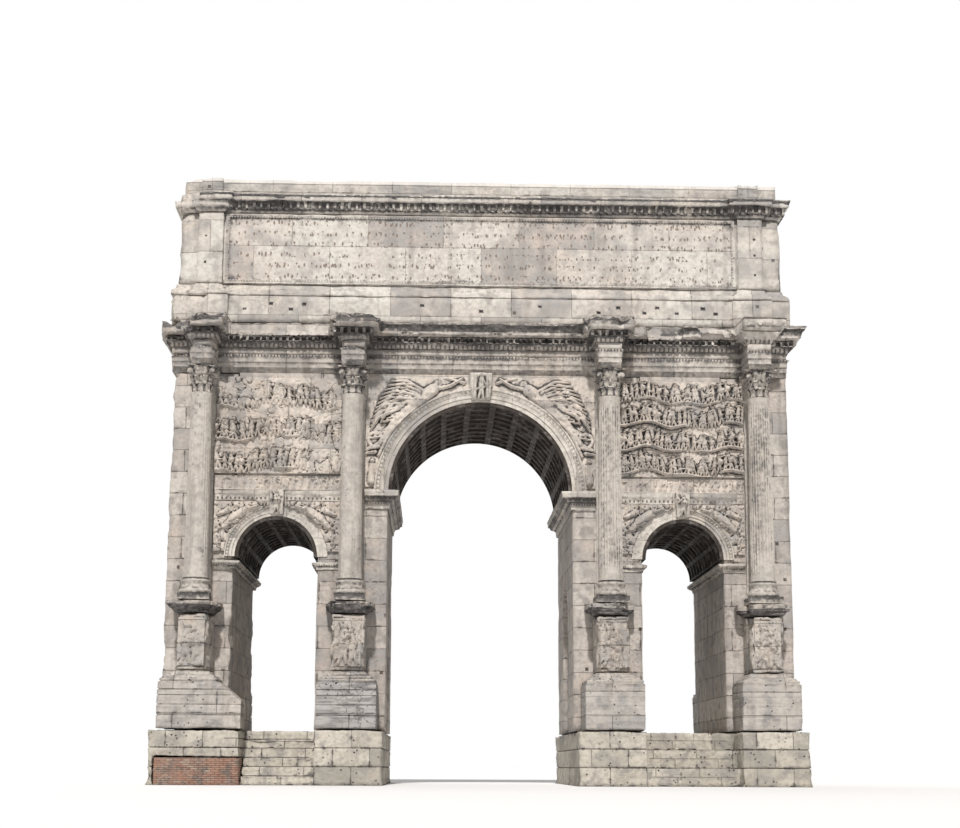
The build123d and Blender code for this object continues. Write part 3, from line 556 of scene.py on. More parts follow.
def weather(bm, depth, chip, seed, size=0.7, lumps=(), joints=()):
    """Wears a mesh inwards, and gives its points, normals, and how far each lies in a hollow."""
    bm.normal_update()
    bm.verts.index_update()
    points = np.array([v.co[:] for v in bm.verts])
    normals = np.array([v.normal[:] for v in bm.verts])
    pairs = np.array([(e.verts[0].index, e.verts[1].index) for e in bm.edges])
    turns = np.array([e.calc_face_angle_signed(0.0) for e in bm.edges])
    arris = np.zeros(len(points))
    hollow = np.zeros(len(points))
    for ends in pairs.T:
        np.maximum.at(arris, ends, np.clip(turns, 0, sharp_turn) / sharp_turn)
        np.maximum.at(hollow, ends, np.clip(-turns, 0, sharp_turn) / sharp_turn)
    arris = np.clip(spread(arris, pairs, 1) * 1.6, 0, 1)
    hollow = np.clip(spread(hollow, pairs, 1) * 1.6, 0, 1)
    bites = patches(points, size, seed, 3.2, 1.5)
    loss = depth * rough(points, size / 5, seed + 7) + chip * arris * (0.2 + bites)
    for level in joints:
        open_joint = (np.abs(points[:, 2] - level) < 0.004) * (np.abs(normals[:, 2]) < 0.5)
        tight = np.where((points[:, 0] > 0) & (points[:, 2] > 2), 0.3, 1.0)
        loss = loss + joint_depth * open_joint * tight * (0.2 + 1.2 * rough(points, 0.8, seed + 3))
    loss = loss * (points[:, 2] > 0.02)
    points = points - normals * loss[:, None]
    for k, (centre, half, faces) in enumerate(lumps):
        points = crumble(points, centre, half, faces, seed + k)
    move_to(bm, points)
    return points, normals, hollow


def crust_and_painted_shade(points, normals, hollow):
    """How black it is painted: painted shade in hollows and under ledges, black crust on ledges that hold the
    wet and in patches.
    """
    under = np.clip(-normals[:, 2], 0, 1)
    ledge = np.clip(normals[:, 2], 0, 1)
    return 0.55 * hollow + 0.38 * under + 0.3 * ledge + 0.5 * (rough(points, 1.4, 3) - 0.55)


def finish_piece(bm, name, finish, replaced=(), crust_and_shade=None, slate=None, stone_name=None):
    """Makes the object, gives it its stone, hangs it on the root body and hides the frame pieces it replaces.
    """
    mesh = bpy.data.meshes.new(name)
    bm.to_mesh(mesh)
    bm.free()
    for key, values in (("crust_and_shade", crust_and_shade), ("slate", slate)):
        if values is not None:
            mesh.attributes.new(key, "FLOAT", "POINT").data.foreach_set("value", values.astype(np.float32))
    mesh.shade_smooth()
    mesh.set_sharp_from_angle(angle=radians(38))
    mesh.materials.append(finishes[stone_name or finish])
    piece = bpy.data.objects.new(name, mesh)
    scene.collection.objects.link(piece)
    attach(piece, "root")
    if replaced:
        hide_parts(*replaced)
    print(name, sum(len(p.vertices) - 2 for p in mesh.polygons))


# %% [markdown]
# Under each projecting slab runs a row of small teeth. On the real arch they were cut from the same block
# as the band, and so they are here: the band's faces are divided, and every second strip is pushed back.

# %% Teeth of the cornices
def notch_teeth(bm, low, high, pitch, depth):
    """Pushes back every second strip of the upright band between two heights."""
    bm.normal_update()
    band = []
    for face in bm.faces:
        heights = [v.co.z for v in face.verts]
        upright = abs(face.normal.z) < 0.1 and len(face.verts) == 4
        if upright and abs(min(heights) - low) < 0.02 and abs(max(heights) - high) < 0.02:
            band.append(face)
    strips = []
    for face in band:
        rails = [e for e in face.edges if abs(e.verts[0].co.z - e.verts[1].co.z) < 0.001]
        count = 2 * int(rails[0].calc_length() / pitch / 2) + 1
        if len(rails) != 2 or count < 3:
            continue
        normal = face.normal.copy()
        made = bmesh.ops.subdivide_edges(bm, edges=rails, cuts=count - 1)
        parts = {f for e in made["geom_inner"] if isinstance(e, bmesh.types.BMEdge) for f in e.link_faces}
        along = normal.cross(Vector((0, 0, 1)))
        parts = [f for f in parts
                 if abs(f.normal.z) < 0.1 and f.normal.dot(normal) > 0.9 and len(f.verts) == 4]
        parts.sort(key=lambda f: f.calc_center_median().dot(along))
        strips += [(f, normal) for f in parts[1::2]]
    for face, normal in strips:
        pushed = bmesh.ops.extrude_discrete_faces(bm, faces=[face])["faces"][0]
        bmesh.ops.translate(bm, verts=pushed.verts, vec=-normal * depth)
    print("teeth", len(strips))


# %% [markdown]
# The plain masses come first: piers, pedestals, mouldings and the attic. Each line gives a piece its
# finish, how closely it is cut along x, y and z, how deep it is worn all over and how deep its edges are
# chipped, all in metres.

# %% Plain masses and mouldings
column_x = (-10.35, -4.77, 4.77, 10.35)
masses = [
    ("outer_pier_left", "wall_marble", (0.16, 0.3, 0.16), 0.08, 0.32),
    ("outer_pier_right", "wall_marble", (0.25, 0.35, 0.25), 0.03, 0.06),
    ("inner_pier_left", "wall_marble", (0.25, 0.4, 0.25), 0.03, 0.06),
    ("inner_pier_right", "wall_marble", (0.25, 0.4, 0.25), 0.03, 0.06),
    ("base_left", "travertine_base", (0.16, 0.22, 0.16), 0.09, 0.10),
    ("base_right", "travertine_base", (0.16, 0.22, 0.16), 0.09, 0.10),
    ("brick_repair", "brick", (0.10, 0.2, 0.10), 0.02, 0.01),
    ("pedestal_plinths_front", "pedestal_marble", (0.11, 0.13, 0.11), 0.03, 0.06),
    ("pedestal_plinths_back", "pedestal_marble", (0.16, 0.2, 0.16), 0.03, 0.05),
    ("pedestal_dies_front", "pedestal_marble", (0.09, 0.12, 0.09), 0.05, 0.08),
    ("pedestal_dies_back", "pedestal_marble", (0.14, 0.2, 0.14), 0.04, 0.05),
    ("pedestal_caps_front", "pedestal_marble", (0.09, 0.1, 0.1), 0.04, 0.14),
    ("pedestal_caps_back", "pedestal_marble", (0.13, 0.15, 0.2), 0.03, 0.08),
    ("pilasters", "column_marble", (0.15, 0.1, 0.18), 0.03, 0.05),
    ("keystones", "trim_marble", (0.09, 0.1, 0.09), 0.06, 0.06),
    ("imposts", "trim_marble", (0.12, 0.16, 0.2), 0.015, 0.03),
    ("string_courses", "trim_marble", (0.13, 0.2, 0.2), 0.03, 0.04),
    ("architrave", "entablature_marble", (0.15, 0.17, 0.3), 0.012, 0.03),
    ("frieze", "entablature_marble", (0.2, 0.22, 0.14), 0.02, 0.03),
    ("cornice_bed", "entablature_marble", (0.2, 0.24, 0.4), 0.02, 0.05),
    ("cornice", "entablature_marble", (0.12, 0.14, 0.14), 0.06, 0.13),
    ("attic_socle", "attic_marble", (0.25, 0.28, 0.22), 0.02, 0.06),
    ("attic_base_moulding", "attic_marble", (0.2, 0.22, 0.3), 0.02, 0.08),
    ("attic_wall_front", "attic_marble", (0.35, 0.5, 0.3), 0.02, 0.08),
    ("attic_wall_back", "attic_marble", (0.4, 0.6, 0.4), 0.02, 0.06),
    ("attic_end_walls", "attic_marble", (0.4, 0.4, 0.4), 0.02, 0.04),
    ("attic_pilasters", "attic_marble", (0.13, 0.18, 0.13), 0.02, 0.07),
    ("inscription_panels", "attic_marble", (0.3, 0.3, 0.3), 0.004, 0.03),
    ("attic_cornice", "attic_marble", (0.16, 0.18, 0.3), 0.03, 0.10),
    ("parapet", "attic_marble", (0.22, 0.25, 0.23), 0.02, 0.07),
]
special_stone = {"inscription_panels": "inscribed_marble", "keystones": "key_marble"}
print("masses:", len(masses))

# %% [markdown]
# Some pieces have more than that: bed joints at given heights, rows of teeth (from, to, pitch, depth),
# dark bands (from, to, share), crumbled lumps, and small holes at places (x, z) of the front.

# %% Joints, teeth, crust and lumps
bed_joints = {"base_left": (0.65, 1.30), "base_right": (0.65, 1.30),
              "pedestal_plinths_front": (2.43, 2.80, 3.13, 3.33, 3.63), "pedestal_plinths_back": (2.7, 3.2)}
teeth = {"cornice_bed": (16.45, 16.649, 0.125, 0.13), "attic_cornice": (21.713, 21.986, 0.14, 0.09)}
dark_bands = {"cornice": (16.80, 17.12, 0.62), "cornice_bed": (16.2, 16.46, 0.2),
               "attic_cornice": (22.14, 22.26, 0.8), "architrave": (15.86, 16.0, 0.35),
               "pedestal_caps_front": (6.0, 6.42, 0.75)}
ressaut_lumps = [((-10.35, -4.33, 16.40), (0.96, 1.30, 0.86), (0, -1, 1)),
                 ((-4.77, -4.33, 16.40), (1.05, 1.33, 0.90), (0, -1, 1)),
                 ((4.77, -4.33, 16.40), (1.16, 1.36, 0.92), (0, -1, 1))]
corner_lump = ((-11.55, -3.5, 16.5), (0.78, 0.75, 0.72), (-1, -1, 1))
lumps = {
    "cornice": ressaut_lumps + [corner_lump],
    "cornice_bed": [((-11.5, -3.5, 16.3), (0.42, 0.40, 2.0), (-1, -1, 0)),
                    ((-10.35, -4.33, 16.35), (0.76, 0.95, 2.0), (0, -1, 0))],
    "architrave": [((-11.5, -3.5, 15.5), (0.24, 0.24, 2.0), (-1, -1, 0)),
                   ((-10.35, -4.33, 15.6), (0.52, 0.74, 4.0), (0, -1, 0)),
                   ((-4.77, -4.33, 15.6), (0.55, 0.78, 4.0), (0, -1, 0))],
    "frieze": [((-10.35, -4.33, 16.1), (0.50, 0.68, 4.0), (0, -1, 0)),
               ((-4.77, -4.33, 16.1), (0.52, 0.72, 4.0), (0, -1, 0))],
    "attic_cornice": [((-11.2, -3.3, 21.9), (0.66, 0.70, 0.46), (-1, -1, 1))],
    "attic_socle": [((-11.3, -3.4, 17.6), (0.50, 0.50, 3.0), (-1, -1, 0))],
    "attic_base_moulding": [((-11.3, -3.4, 18.4), (0.50, 0.50, 3.0), (-1, -1, 0))],
    "attic_wall_front": [((-11.3, -3.3, 20.2), (0.26, 0.22, 4.0), (-1, -1, 0))],
    "parapet": [((-11.1, -3.2, 22.5), (0.36, 0.40, 0.52), (-1, -1, 1))],
    "imposts": [((-5.78, -3.4, 7.97), (0.37, 0.32, 0.6), (-1, -1, 0)),
                ((5.78, -3.4, 7.97), (0.37, 0.32, 0.6), (1, -1, 0))],
    "pedestal_caps_front": [((-10.35, -4.3, 6.3), (0.98, 1.18, 0.36), (0, -1, 0)),
                            ((-4.70, -4.3, 6.3), (0.93, 1.14, 0.33), (0, -1, 0)),
                            ((4.58, -4.3, 6.3), (0.84, 1.06, 0.31), (0, -1, 0)),
                            ((10.47, -4.3, 6.3), (0.82, 1.10, 0.34), (0, -1, 0))],
    "pedestal_dies_front": [((x, -4.4, 5.0), (half, 0.80, 3.0), (0, -1, 0))
                            for x, half in zip(column_x, (0.60, 0.72, 0.70, 0.68))],
}
dowel_holes = {"attic_socle": [(0.74 * k + 0.15 * (k % 3), 17.62 + 0.25 * (k % 2)) for k in range(-12, 13)],
               "attic_pilasters": [(10.55, 19.3), (10.55, 20.05), (10.55, 20.8),
                                   (-10.55, 19.6), (-10.55, 20.6)]}
# How strongly each piece's crust and painted shade are laid on.
soot_and_shade = {"architrave": 0.8, "imposts": 1.25, "pedestal_caps_front": 1.9,
        "pedestal_plinths_front": 1.4, "frieze": 0.5, "cornice_bed": 0.9, "keystones": 0.7}
print("crumbled pieces:", len(lumps))

# %% [markdown]
# Over the side bays the cornice has lost its outer edge. It breaks off to a rough slope between wandering
# ends, and the fresh break is clean of crust. A few blocks of the parapet and the plinths are grey and
# veined.

# %% Broken cornice, dark bands, grey blocks
bare_bays = ((-9.6, -5.6), (5.6, 6.8), (8.3, 9.6))
break_reach = 4.40
break_slope = 1.25
break_foot = 16.72
least_reach = 3.63


def break_edge(bm, points, seed):
    """Breaks the outer edge of the cornice to a rough slope along the bare bays."""
    ragged = rough(points, 0.45, seed)
    shift = (rough(points * (1, 0, 0), 0.8, seed + 1) - 0.5) * 0.9
    slope = break_reach - break_slope * (points[:, 2] - break_foot)
    limit = np.maximum(slope + 0.45 * (ragged - 0.5), least_reach)
    broken = np.zeros(len(points), bool)
    for start, end in bare_bays:
        broken |= (points[:, 0] > start + shift) & (points[:, 0] < end + shift)
    broken &= (points[:, 1] < -limit)
    points[:, 1] = np.where(broken, -limit, points[:, 1])
    move_to(bm, points)
    return points


def darken_band(node, points, crust_and_shade, seed):
    """Blackens a moulding's band, and leaves the cornice clean where it broke off."""
    low, high, share = dark_bands[node]
    inside = (points[:, 2] > low) & (points[:, 2] < high)
    if node == "cornice":
        x = points[:, 0] + 0.9 * (rough(points, 0.4, seed + 8) - 0.5)
        for start, end in bare_bays:
            bare = (points[:, 1] < 0) & (x > start) & (x < end)
            inside &= ~bare
            crust_and_shade = np.where(bare, crust_and_shade * 0.35 - 0.1, crust_and_shade)
    return crust_and_shade + inside * share * (0.4 + rough(points, 2.5, seed + 5))


def grey_blocks(node, points):
    """Where the grey veined blocks lie, from 0 to 1."""
    slate = np.zeros(len(points))
    if node == "parapet":
        slate += 0.55 * (np.abs(np.abs(points[:, 0]) - column_x[-1]) < 0.6)
        slate += 0.65 * patches(points, 1.6, 91, 3, 1.1) * (points[:, 2] < coping_z)
    if node == "pedestal_plinths_front":
        for x, share in zip(column_x, (0.45, 1.0, 0.45, 0.3)):
            slate += share * (np.abs(points[:, 0] - x) < 1.3) * (points[:, 2] < 3.62)
    return slate


# %% [markdown]
# With all that said, one loop makes every mass.

# %% The masses, worn
for seed, (node, finish, spacing, depth, chip) in enumerate(masses):
    bm = frame_copy(node)
    if node in teeth:
        notch_teeth(bm, *teeth[node])
    joints = bed_joints.get(node, ())
    bm.normal_update()
    slice_up(bm, spacing, joints, dowel_holes.get(node, ()))
    points, normals, hollow = weather(bm, depth, chip, seed * 11, lumps=lumps.get(node, ()), joints=joints)
    if node == "cornice":
        points = break_edge(bm, points, seed)
    # Crust and painted shade, stronger or weaker for each piece.
    crust_and_shade = crust_and_painted_shade(points, normals, hollow) * soot_and_shade.get(node, 1)
    if node in dark_bands:
        crust_and_shade = darken_band(node, points, crust_and_shade, seed)
    if node.startswith("pedestal") and node.endswith("front"):
        crust_and_shade = crust_and_shade * np.where(points[:, 0] > 0, 0.6, 1.0)
    slate = grey_blocks(node, points)
    finish_piece(bm, "worn_" + node, finish, (node,), crust_and_shade, slate, special_stone.get(node))

# %% [markdown]
# Reliefs are carved into a slab, so a height map suits them: every point of the front has one depth. Limbs,
# heads, shields and ledges are rounded swellings on that map, the highest one wins, and the weather takes
# some away. The scenes here are made up: rows of plain worn figures without faces, on wavy ledges of rock.

# %% Height maps
wall_y = 3.6
slab_back = 0.06


def on_wall(x, z, layer):
    """Points of a wall, on their own layer of the noise."""
    return np.stack([x, z, np.full(len(x), layer)], axis=1)


def swell(field, x, z, start, end, thick, thin, rise):
    """Raises a rounded limb from start to end on a height map; one point gives a knob."""
    reach_x, reach_z = end[0] - start[0], end[1] - start[1]
    length = max(reach_x ** 2 + reach_z ** 2, 1e-6)
    along = np.clip(((x - start[0]) * reach_x + (z - start[1]) * reach_z) / length, 0, 1)
    away = np.hypot(x - start[0] - along * reach_x, z - start[1] - along * reach_z)
    radius = thick + (thin - thick) * along
    np.maximum(field, rise * np.sqrt(np.clip(1 - (away / radius) ** 2, 0, 1)), out=field)


def standing_figure(field, x, z, foot, tall, lean, arm, shield, bits=()):
    """A plain draped figure: legs, tunic, arm, head, loose folds, and a round shield for some."""
    fx, fz = foot
    hip = (fx + lean * 0.2 * tall, fz + 0.47 * tall)
    neck = (fx + lean * 0.4 * tall, fz + 0.79 * tall)
    swell(field, x, z, (fx - 0.10 * tall, fz), hip, 0.045 * tall, 0.09 * tall, 0.10)
    swell(field, x, z, (fx + 0.10 * tall, fz), hip, 0.045 * tall, 0.09 * tall, 0.12)
    swell(field, x, z, hip, neck, 0.13 * tall, 0.10 * tall, 0.15)
    hand = (neck[0] + arm[0] * tall, neck[1] + arm[1] * tall)
    swell(field, x, z, neck, hand, 0.055 * tall, 0.04 * tall, 0.17)
    head = (neck[0] + lean * 0.05 * tall, fz + 0.91 * tall)
    swell(field, x, z, head, head, 0.075 * tall, 0.075 * tall, 0.19)
    for turn, start in zip(bits, (hip, neck, (fx, fz + 0.3 * tall))):
        tip = (start[0] + 0.28 * tall * cos(turn), start[1] + 0.28 * tall * sin(turn))
        swell(field, x, z, start, tip, 0.05 * tall, 0.03 * tall, 0.13)
    if shield:
        middle = (hip[0] + 0.06 * tall, hip[1] + 0.10 * tall)
        swell(field, x, z, middle, middle, 0.17 * tall, 0.17 * tall, 0.18)


def relief_slab(bm, x_range, z_range, cell, face, carve, keep=None, wall=wall_y):
    """Adds a closed slab whose front follows carve(x, z); face is -1 on the front, 1 on the back."""
    (x0, x1), (z0, z1) = x_range, z_range
    slab = bmesh.new()
    across, upwards = ceil((x1 - x0) / cell), ceil((z1 - z0) / cell)
    bmesh.ops.create_grid(slab, x_segments=across, y_segments=upwards, size=0.5)
    spots = np.array([v.co[:2] for v in slab.verts]) + 0.5
    x = x0 + (x1 - x0) * spots[:, 0]
    z = z0 + (z1 - z0) * spots[:, 1]
    for vert, at_x, at_z, rise in zip(slab.verts, x, z, carve(x, z)):
        vert.co = (at_x, face * (wall + rise), at_z)
    if keep:
        lost = [f for f in slab.faces if not keep(f.calc_center_median())]
        bmesh.ops.delete(slab, geom=lost, context="FACES")
    rim = [e for e in slab.edges if e.is_boundary]
    made = bmesh.ops.extrude_edge_only(slab, edges=rim)["geom"]
    for vert in made:
        if isinstance(vert, bmesh.types.BMVert):
            vert.co.y = face * (wall - slab_back)
    bmesh.ops.holes_fill(slab, edges=[e for e in slab.edges if e.is_boundary], sides=0)
    bmesh.ops.recalc_face_normals(slab, faces=slab.faces)
    pour(slab, bm)


def relief_shade_and_crust(bm, gain, rounds=8):
    """Painted shade where the carving lies deeper than what is around it, with black crust in patches."""
    bm.verts.index_update()
    depth = np.array([abs(v.co.y) for v in bm.verts])
    pairs = np.array([(e.verts[0].index, e.verts[1].index) for e in bm.edges])
    points = np.array([v.co[:] for v in bm.verts])
    return (spread(depth, pairs, rounds) - depth) * gain + 0.5 * (rough(points, 1.2, 5) - 0.5)


# %% [markdown]
# The big panels over the side arches carry rows of figures between ledges. The left one is worn to large
# soft forms with deep crevices, the right one still shows its rows of heads. A seeded draw places the
# figures.

# %% Relief panels
panel_width = 4.68
panel_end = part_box("relief_panels")[1][0]
panel_x = (panel_end - panel_width, panel_end)
panel_z = (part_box("relief_panels")[0][2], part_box("relief_panels")[1][2])


def panel_carving(seed, rows, tall, worn):
    """A height map of rows of figures on wavy ledges, worn by a share."""
    def carve(x, z):
        draw = np.random.default_rng(seed)
        place = on_wall(x, z, seed * 3.1)
        field = 0.05 * rough(place, 0.9, seed)
        wave = 0.10 * np.sin(x * 1.7 + seed) + 0.06 * np.sin(x * 4.1 + 2 * seed)
        wave = wave + 0.12 * noise(place, 0.6, seed)
        for row in range(rows):
            ledge = panel_z[0] + 0.10 + (panel_z[1] - panel_z[0]) * row / rows
            shelf = np.clip(1 - np.abs(z - ledge - wave + 0.02) / 0.07, 0, 1)
            whole = np.clip(rough(place, 0.8, seed + row) * 5 - 1.6 - 2 * worn, 0, 1)
            np.maximum(field, 0.16 * np.sqrt(shelf) * whole, out=field)
            spot = -11.0
            while spot < 11.0:
                spot += draw.uniform(0.17, 0.36) * tall
                foot_z = ledge + 0.10 * sin(spot * 1.7 + seed) + 0.06 * sin(spot * 4.1 + 2 * seed) + 0.03
                arm = (draw.uniform(-0.3, 0.3), draw.uniform(-0.3, 0.15))
                lean = draw.uniform(-0.5, 0.5)
                size = tall * draw.uniform(0.85, 1.05)
                shield = draw.random() < 0.3
                if x.min() - 0.3 < spot < x.max() + 0.3:
                    bits = draw.uniform(0, 2 * pi, 3)
                    standing_figure(field, x, z, (spot, foot_z), size, lean, arm, shield, bits)
        loss = np.clip(rough(place, 1.3, seed + 40) * 2.6 - 1.5 + worn, 0, 1)
        softer = 0.07 + 0.08 * rough(place, 0.35, seed + 9)
        field = field * (1 - 0.75 * loss) + softer * loss * 0.9
        cleft = crevices(place, 0.30, seed + 20, 0.035)
        return 0.03 + 1.5 * field + 0.04 * rough(place, 0.12, seed + 3) - 0.10 * cleft * (0.3 + 0.7 * loss)
    return carve


bm = bmesh.new()
for face, cell in ((-1, 0.030), (1, 0.045)):
    for side in (-1, 1):
        x_range = tuple(sorted((side * panel_x[0], side * panel_x[1])))
        rows, tall, worn = (3, 0.85, 0.45) if side * face > 0 else (4, 0.72, 0.1)
        relief_slab(bm, x_range, panel_z, cell, face, panel_carving(12 + side + 3 * face, rows, tall, worn))
right_half = np.array([v.co.x > 0 for v in bm.verts])
# Painted shade in the deep carving, with crust; the panels on the right are darker all over.
crust_and_shade = relief_shade_and_crust(bm, 18.0) + 0.18 * right_half - 0.05
finish_piece(bm, "carved_panels", "relief_marble", ("relief_panels",), crust_and_shade)

# %% [markdown]
# Below each panel runs a narrow frieze: one row of walking figures, close together.

# %% Small friezes
frieze_z = (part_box("small_friezes")[0][2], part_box("small_friezes")[1][2])


def frieze_carving(seed):
    """A height map of one row of walking figures."""
    def carve(x, z):
        draw = np.random.default_rng(seed)
        place = on_wall(x, z, seed * 1.7)
        field = 0.03 * rough(place, 0.5, seed)
        spot = -10.6
        while spot < 10.6:
            spot += draw.uniform(0.16, 0.30)
            arm = (draw.uniform(-0.4, 0.4), draw.uniform(-0.3, 0.2))
            if x.min() < spot < x.max():
                shield = draw.random() < 0.15
                standing_figure(field, x, z, (spot, frieze_z[0] + 0.05), 0.44, 0.3, arm, shield)
        edge = np.clip(1 - np.abs(np.abs(z - sum(frieze_z) / 2) - 0.25) / 0.03, 0, 1)
        return 0.02 + np.maximum(field * 0.55, 0.07 * edge) + 0.015 * rough(place, 0.1, seed + 3)
    return carve


bm = bmesh.new()
for face, cell in ((-1, 0.033), (1, 0.045)):
    for side in (-1, 1):
        x_range = tuple(sorted((side * panel_x[0], side * panel_x[1])))
        relief_slab(bm, x_range, frieze_z, cell, face, frieze_carving(20 + side + 4 * face))
finish_piece(bm, "carved_friezes", "relief_marble", ("small_friezes",), relief_shade_and_crust(bm, 14.0))

# %% [markdown]
# Round each arch runs a moulded band: two plain steps, a string of beads, a row of leaves and an outer
# roll. Its section is drawn once and spun through half a turn about the arch's middle. The steps of the
# spin are as wide as half a leaf, so every second row of corners can be sunk to cut the leaves and beads.

# %% Bands round the arches
main_middle = (0.0, 10.79)
main_radii = (3.435, 3.975)
main_leaves = 76
side_middle = (7.56, 8.30)
side_radii = (1.52, 1.91)
side_leaves = 46
band_section = [(0.0, -0.03), (0.0, 0.045), (0.22, 0.052), (0.245, 0.022), (0.27, 0.022), (0.295, 0.070),
                (0.50, 0.080), (0.52, 0.045), (0.545, 0.045), (0.56, 0.078), (0.59, 0.092), (0.62, 0.078),
                (0.635, 0.055), (0.66, 0.070), (0.74, 0.092), (0.82, 0.108), (0.84, 0.075), (0.86, 0.118),
                (0.93, 0.128), (1.0, 0.118), (1.0, -0.03)]


def arch_band(bm, centre, inner, outer, face, leaves):
    """Adds a moulded half ring round an arch on one face of the wall."""
    ring = bmesh.new()
    points = [(centre[0] + inner + share * (outer - inner), face * (wall_y + rise), centre[1])
              for share, rise in band_section]
    section = [ring.verts.new(point) for point in points]
    start = ring.faces.new(section)
    bmesh.ops.spin(ring, geom=section + list(start.edges) + [start], cent=(centre[0], 0, centre[1]),
                   axis=(0, 1, 0), angle=-pi, steps=leaves * 2, use_merge=False, use_duplicate=False)
    for vert in ring.verts:
        turn = np.arctan2(vert.co.z - centre[1], vert.co.x - centre[0])
        share = (hypot(vert.co.x - centre[0], vert.co.z - centre[1]) - inner) / (outer - inner)
        if round(turn / pi * leaves * 2) % 2:
            sunk = 0.045 if 0.65 < share < 0.83 else 0.03 if 0.55 < share < 0.63 else 0
            vert.co.y -= face * sunk
    bmesh.ops.recalc_face_normals(ring, faces=ring.faces)
    pour(ring, bm)


bm = bmesh.new()
for face in (-1, 1):
    arch_band(bm, main_middle, *main_radii, face, main_leaves)
    for side in (-1, 1):
        arch_band(bm, (side * side_middle[0], side_middle[1]), *side_radii, face, side_leaves)
bmesh.ops.triangulate(bm, faces=bm.faces[:])
points, normals, hollow = weather(bm, 0.008, 0.006, 41)
worn = patches(points, 0.9, 43, 3.0, 1.45) * np.where(np.abs(points[:, 0]) > 5, 0.85, 0.35)
inner_half = (np.abs(points[:, 0]) > 5) & (np.abs(points[:, 0]) < 7.45) & (points[:, 1] < 0)
worn = np.maximum(worn, inner_half * (0.55 + 0.6 * rough(points, 0.3, 47)))
worn = np.minimum(worn, 1)
rise = np.abs(points[:, 1]) - wall_y
points[:, 1] -= np.sign(points[:, 1]) * np.where(rise > 0.01, (rise - 0.01) * worn, 0)
move_to(bm, points)
finish_piece(bm, "arch_bands", "trim_marble", ("archivolts",), relief_shade_and_crust(bm, 16.0, 3))

# %% [markdown]
# The corners above each arch hold large winged figures that lean along the curve. They are low reliefs on
# the wall, so the same height map makes them, cut away where the archivolt begins. A limb has its two ends,
# its thickness at each, and how far it rises.

# %% Figures over the arches
main_centre = (0.0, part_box("main_vault")[0][2])
side_centre = (7.56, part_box("side_vault_right")[0][2])
winged_limbs = (
    ((1.62, 14.90), (1.62, 14.90), 0.15, 0.15, 0.26),
    ((1.78, 14.70), (2.45, 14.20), 0.22, 0.26, 0.26),
    ((2.45, 14.20), (3.15, 13.55), 0.25, 0.17, 0.24),
    ((3.15, 13.55), (3.78, 12.60), 0.16, 0.10, 0.20),
    ((2.45, 14.10), (3.42, 13.02), 0.17, 0.09, 0.19),
    ((3.42, 13.02), (3.80, 12.15), 0.09, 0.07, 0.17),
    ((1.75, 14.70), (1.15, 14.83), 0.09, 0.07, 0.22),
    ((1.15, 14.83), (0.72, 15.10), 0.07, 0.06, 0.20),
    ((4.08, 11.15), (4.05, 11.75), 0.15, 0.12, 0.16),
    ((4.05, 11.92), (4.05, 11.92), 0.09, 0.09, 0.18),
    ((0.62, 14.95), (1.35, 15.15), 0.06, 0.05, 0.14),
)
leaning_limbs = (
    ((-1.10, 10.10), (-1.10, 10.10), 0.11, 0.11, 0.14),
    ((-1.22, 9.98), (-1.62, 9.70), 0.16, 0.18, 0.15),
    ((-1.62, 9.70), (-2.02, 9.30), 0.14, 0.10, 0.13),
    ((-2.02, 9.30), (-2.08, 8.80), 0.10, 0.06, 0.10),
    ((-1.25, 10.0), (-0.72, 10.18), 0.06, 0.05, 0.12),
    ((-1.75, 10.05), (-2.15, 9.85), 0.12, 0.07, 0.12),
)


def winged_figure(x, z):
    """A winged figure over the right half of the main arch; the left one is its mirror image."""
    place = on_wall(x, z, 7.7)
    field = np.zeros(len(x))
    for limb in winged_limbs:
        swell(field, x, z, *limb)
    for length, thick, rise in ((1.35, 0.10, 0.12), (0.85, 0.09, 0.19)):
        for k in range(12):
            share = k / 11
            root = (2.12 + 0.09 * k, 14.58 - 0.06 * k)
            turn = 0.55 - 1.0 * share
            bend = (root[0] + 0.6 * length * cos(turn), root[1] + 0.6 * length * sin(turn))
            tip = (bend[0] + 0.4 * length * cos(turn - 0.55), bend[1] + 0.4 * length * sin(turn - 0.55))
            lift = rise + 0.035 * (k % 2)
            swell(field, x, z, root, bend, thick, thick * 0.8, lift)
            swell(field, x, z, bend, tip, thick * 0.8, thick * 0.35, lift)
    for k in range(9):
        sway = (2.75 + 0.15 * k, 13.95 - 0.21 * k)
        drift = (sway[0] + 0.62, sway[1] - 0.30 + 0.10 * (k % 3))
        swell(field, x, z, sway, drift, 0.075, 0.035, 0.16)
    for k in range(20):
        turn = 2 * pi * k / 20
        spot = (3.95 + 0.26 * cos(turn), 12.75 + 0.26 * sin(turn))
        swell(field, x, z, spot, (spot[0] - 0.08 * sin(turn), spot[1] + 0.08 * cos(turn)), 0.07, 0.06, 0.15)
    eaten = patches(place, 0.45, 31, 2.8, 1.35)
    return 0.012 + field * (1 - 0.65 * eaten) + 0.035 * rough(place, 0.12, 4) + 0.03 * rough(place, 0.5, 6)


def leaning_figure(x, z):
    """A figure that lies along the left curve of a side arch, in places counted from the arch's middle."""
    place = on_wall(x, z, 3.3)
    field = np.zeros(len(x))
    for limb in leaning_limbs:
        swell(field, x, z, *limb)
    draw = np.random.default_rng(17)
    for k in range(34):
        spot = (-draw.uniform(0.4, 2.25), draw.uniform(8.7, 10.3))
        turn = draw.uniform(0, pi)
        tip = (spot[0] + 0.22 * cos(turn), spot[1] + 0.22 * sin(turn))
        swell(field, x, z, spot, tip, 0.05, 0.03, draw.uniform(0.05, 0.11))
    eaten = patches(place, 0.4, 31, 2.4, 1.0)
    lumpy = field * (1.35 - 0.8 * eaten) + 0.07 * rough(place, 0.30, 12)
    return 0.035 + lumpy + 0.04 * rough(place, 0.10, 4) - 0.085 * crevices(place, 0.28, 23, 0.045)


def outside(centre, radius):
    """Says whether a point of the wall lies outside an arch's mouldings."""
    return lambda spot: hypot(spot.x - centre[0], spot.z - centre[1]) > radius


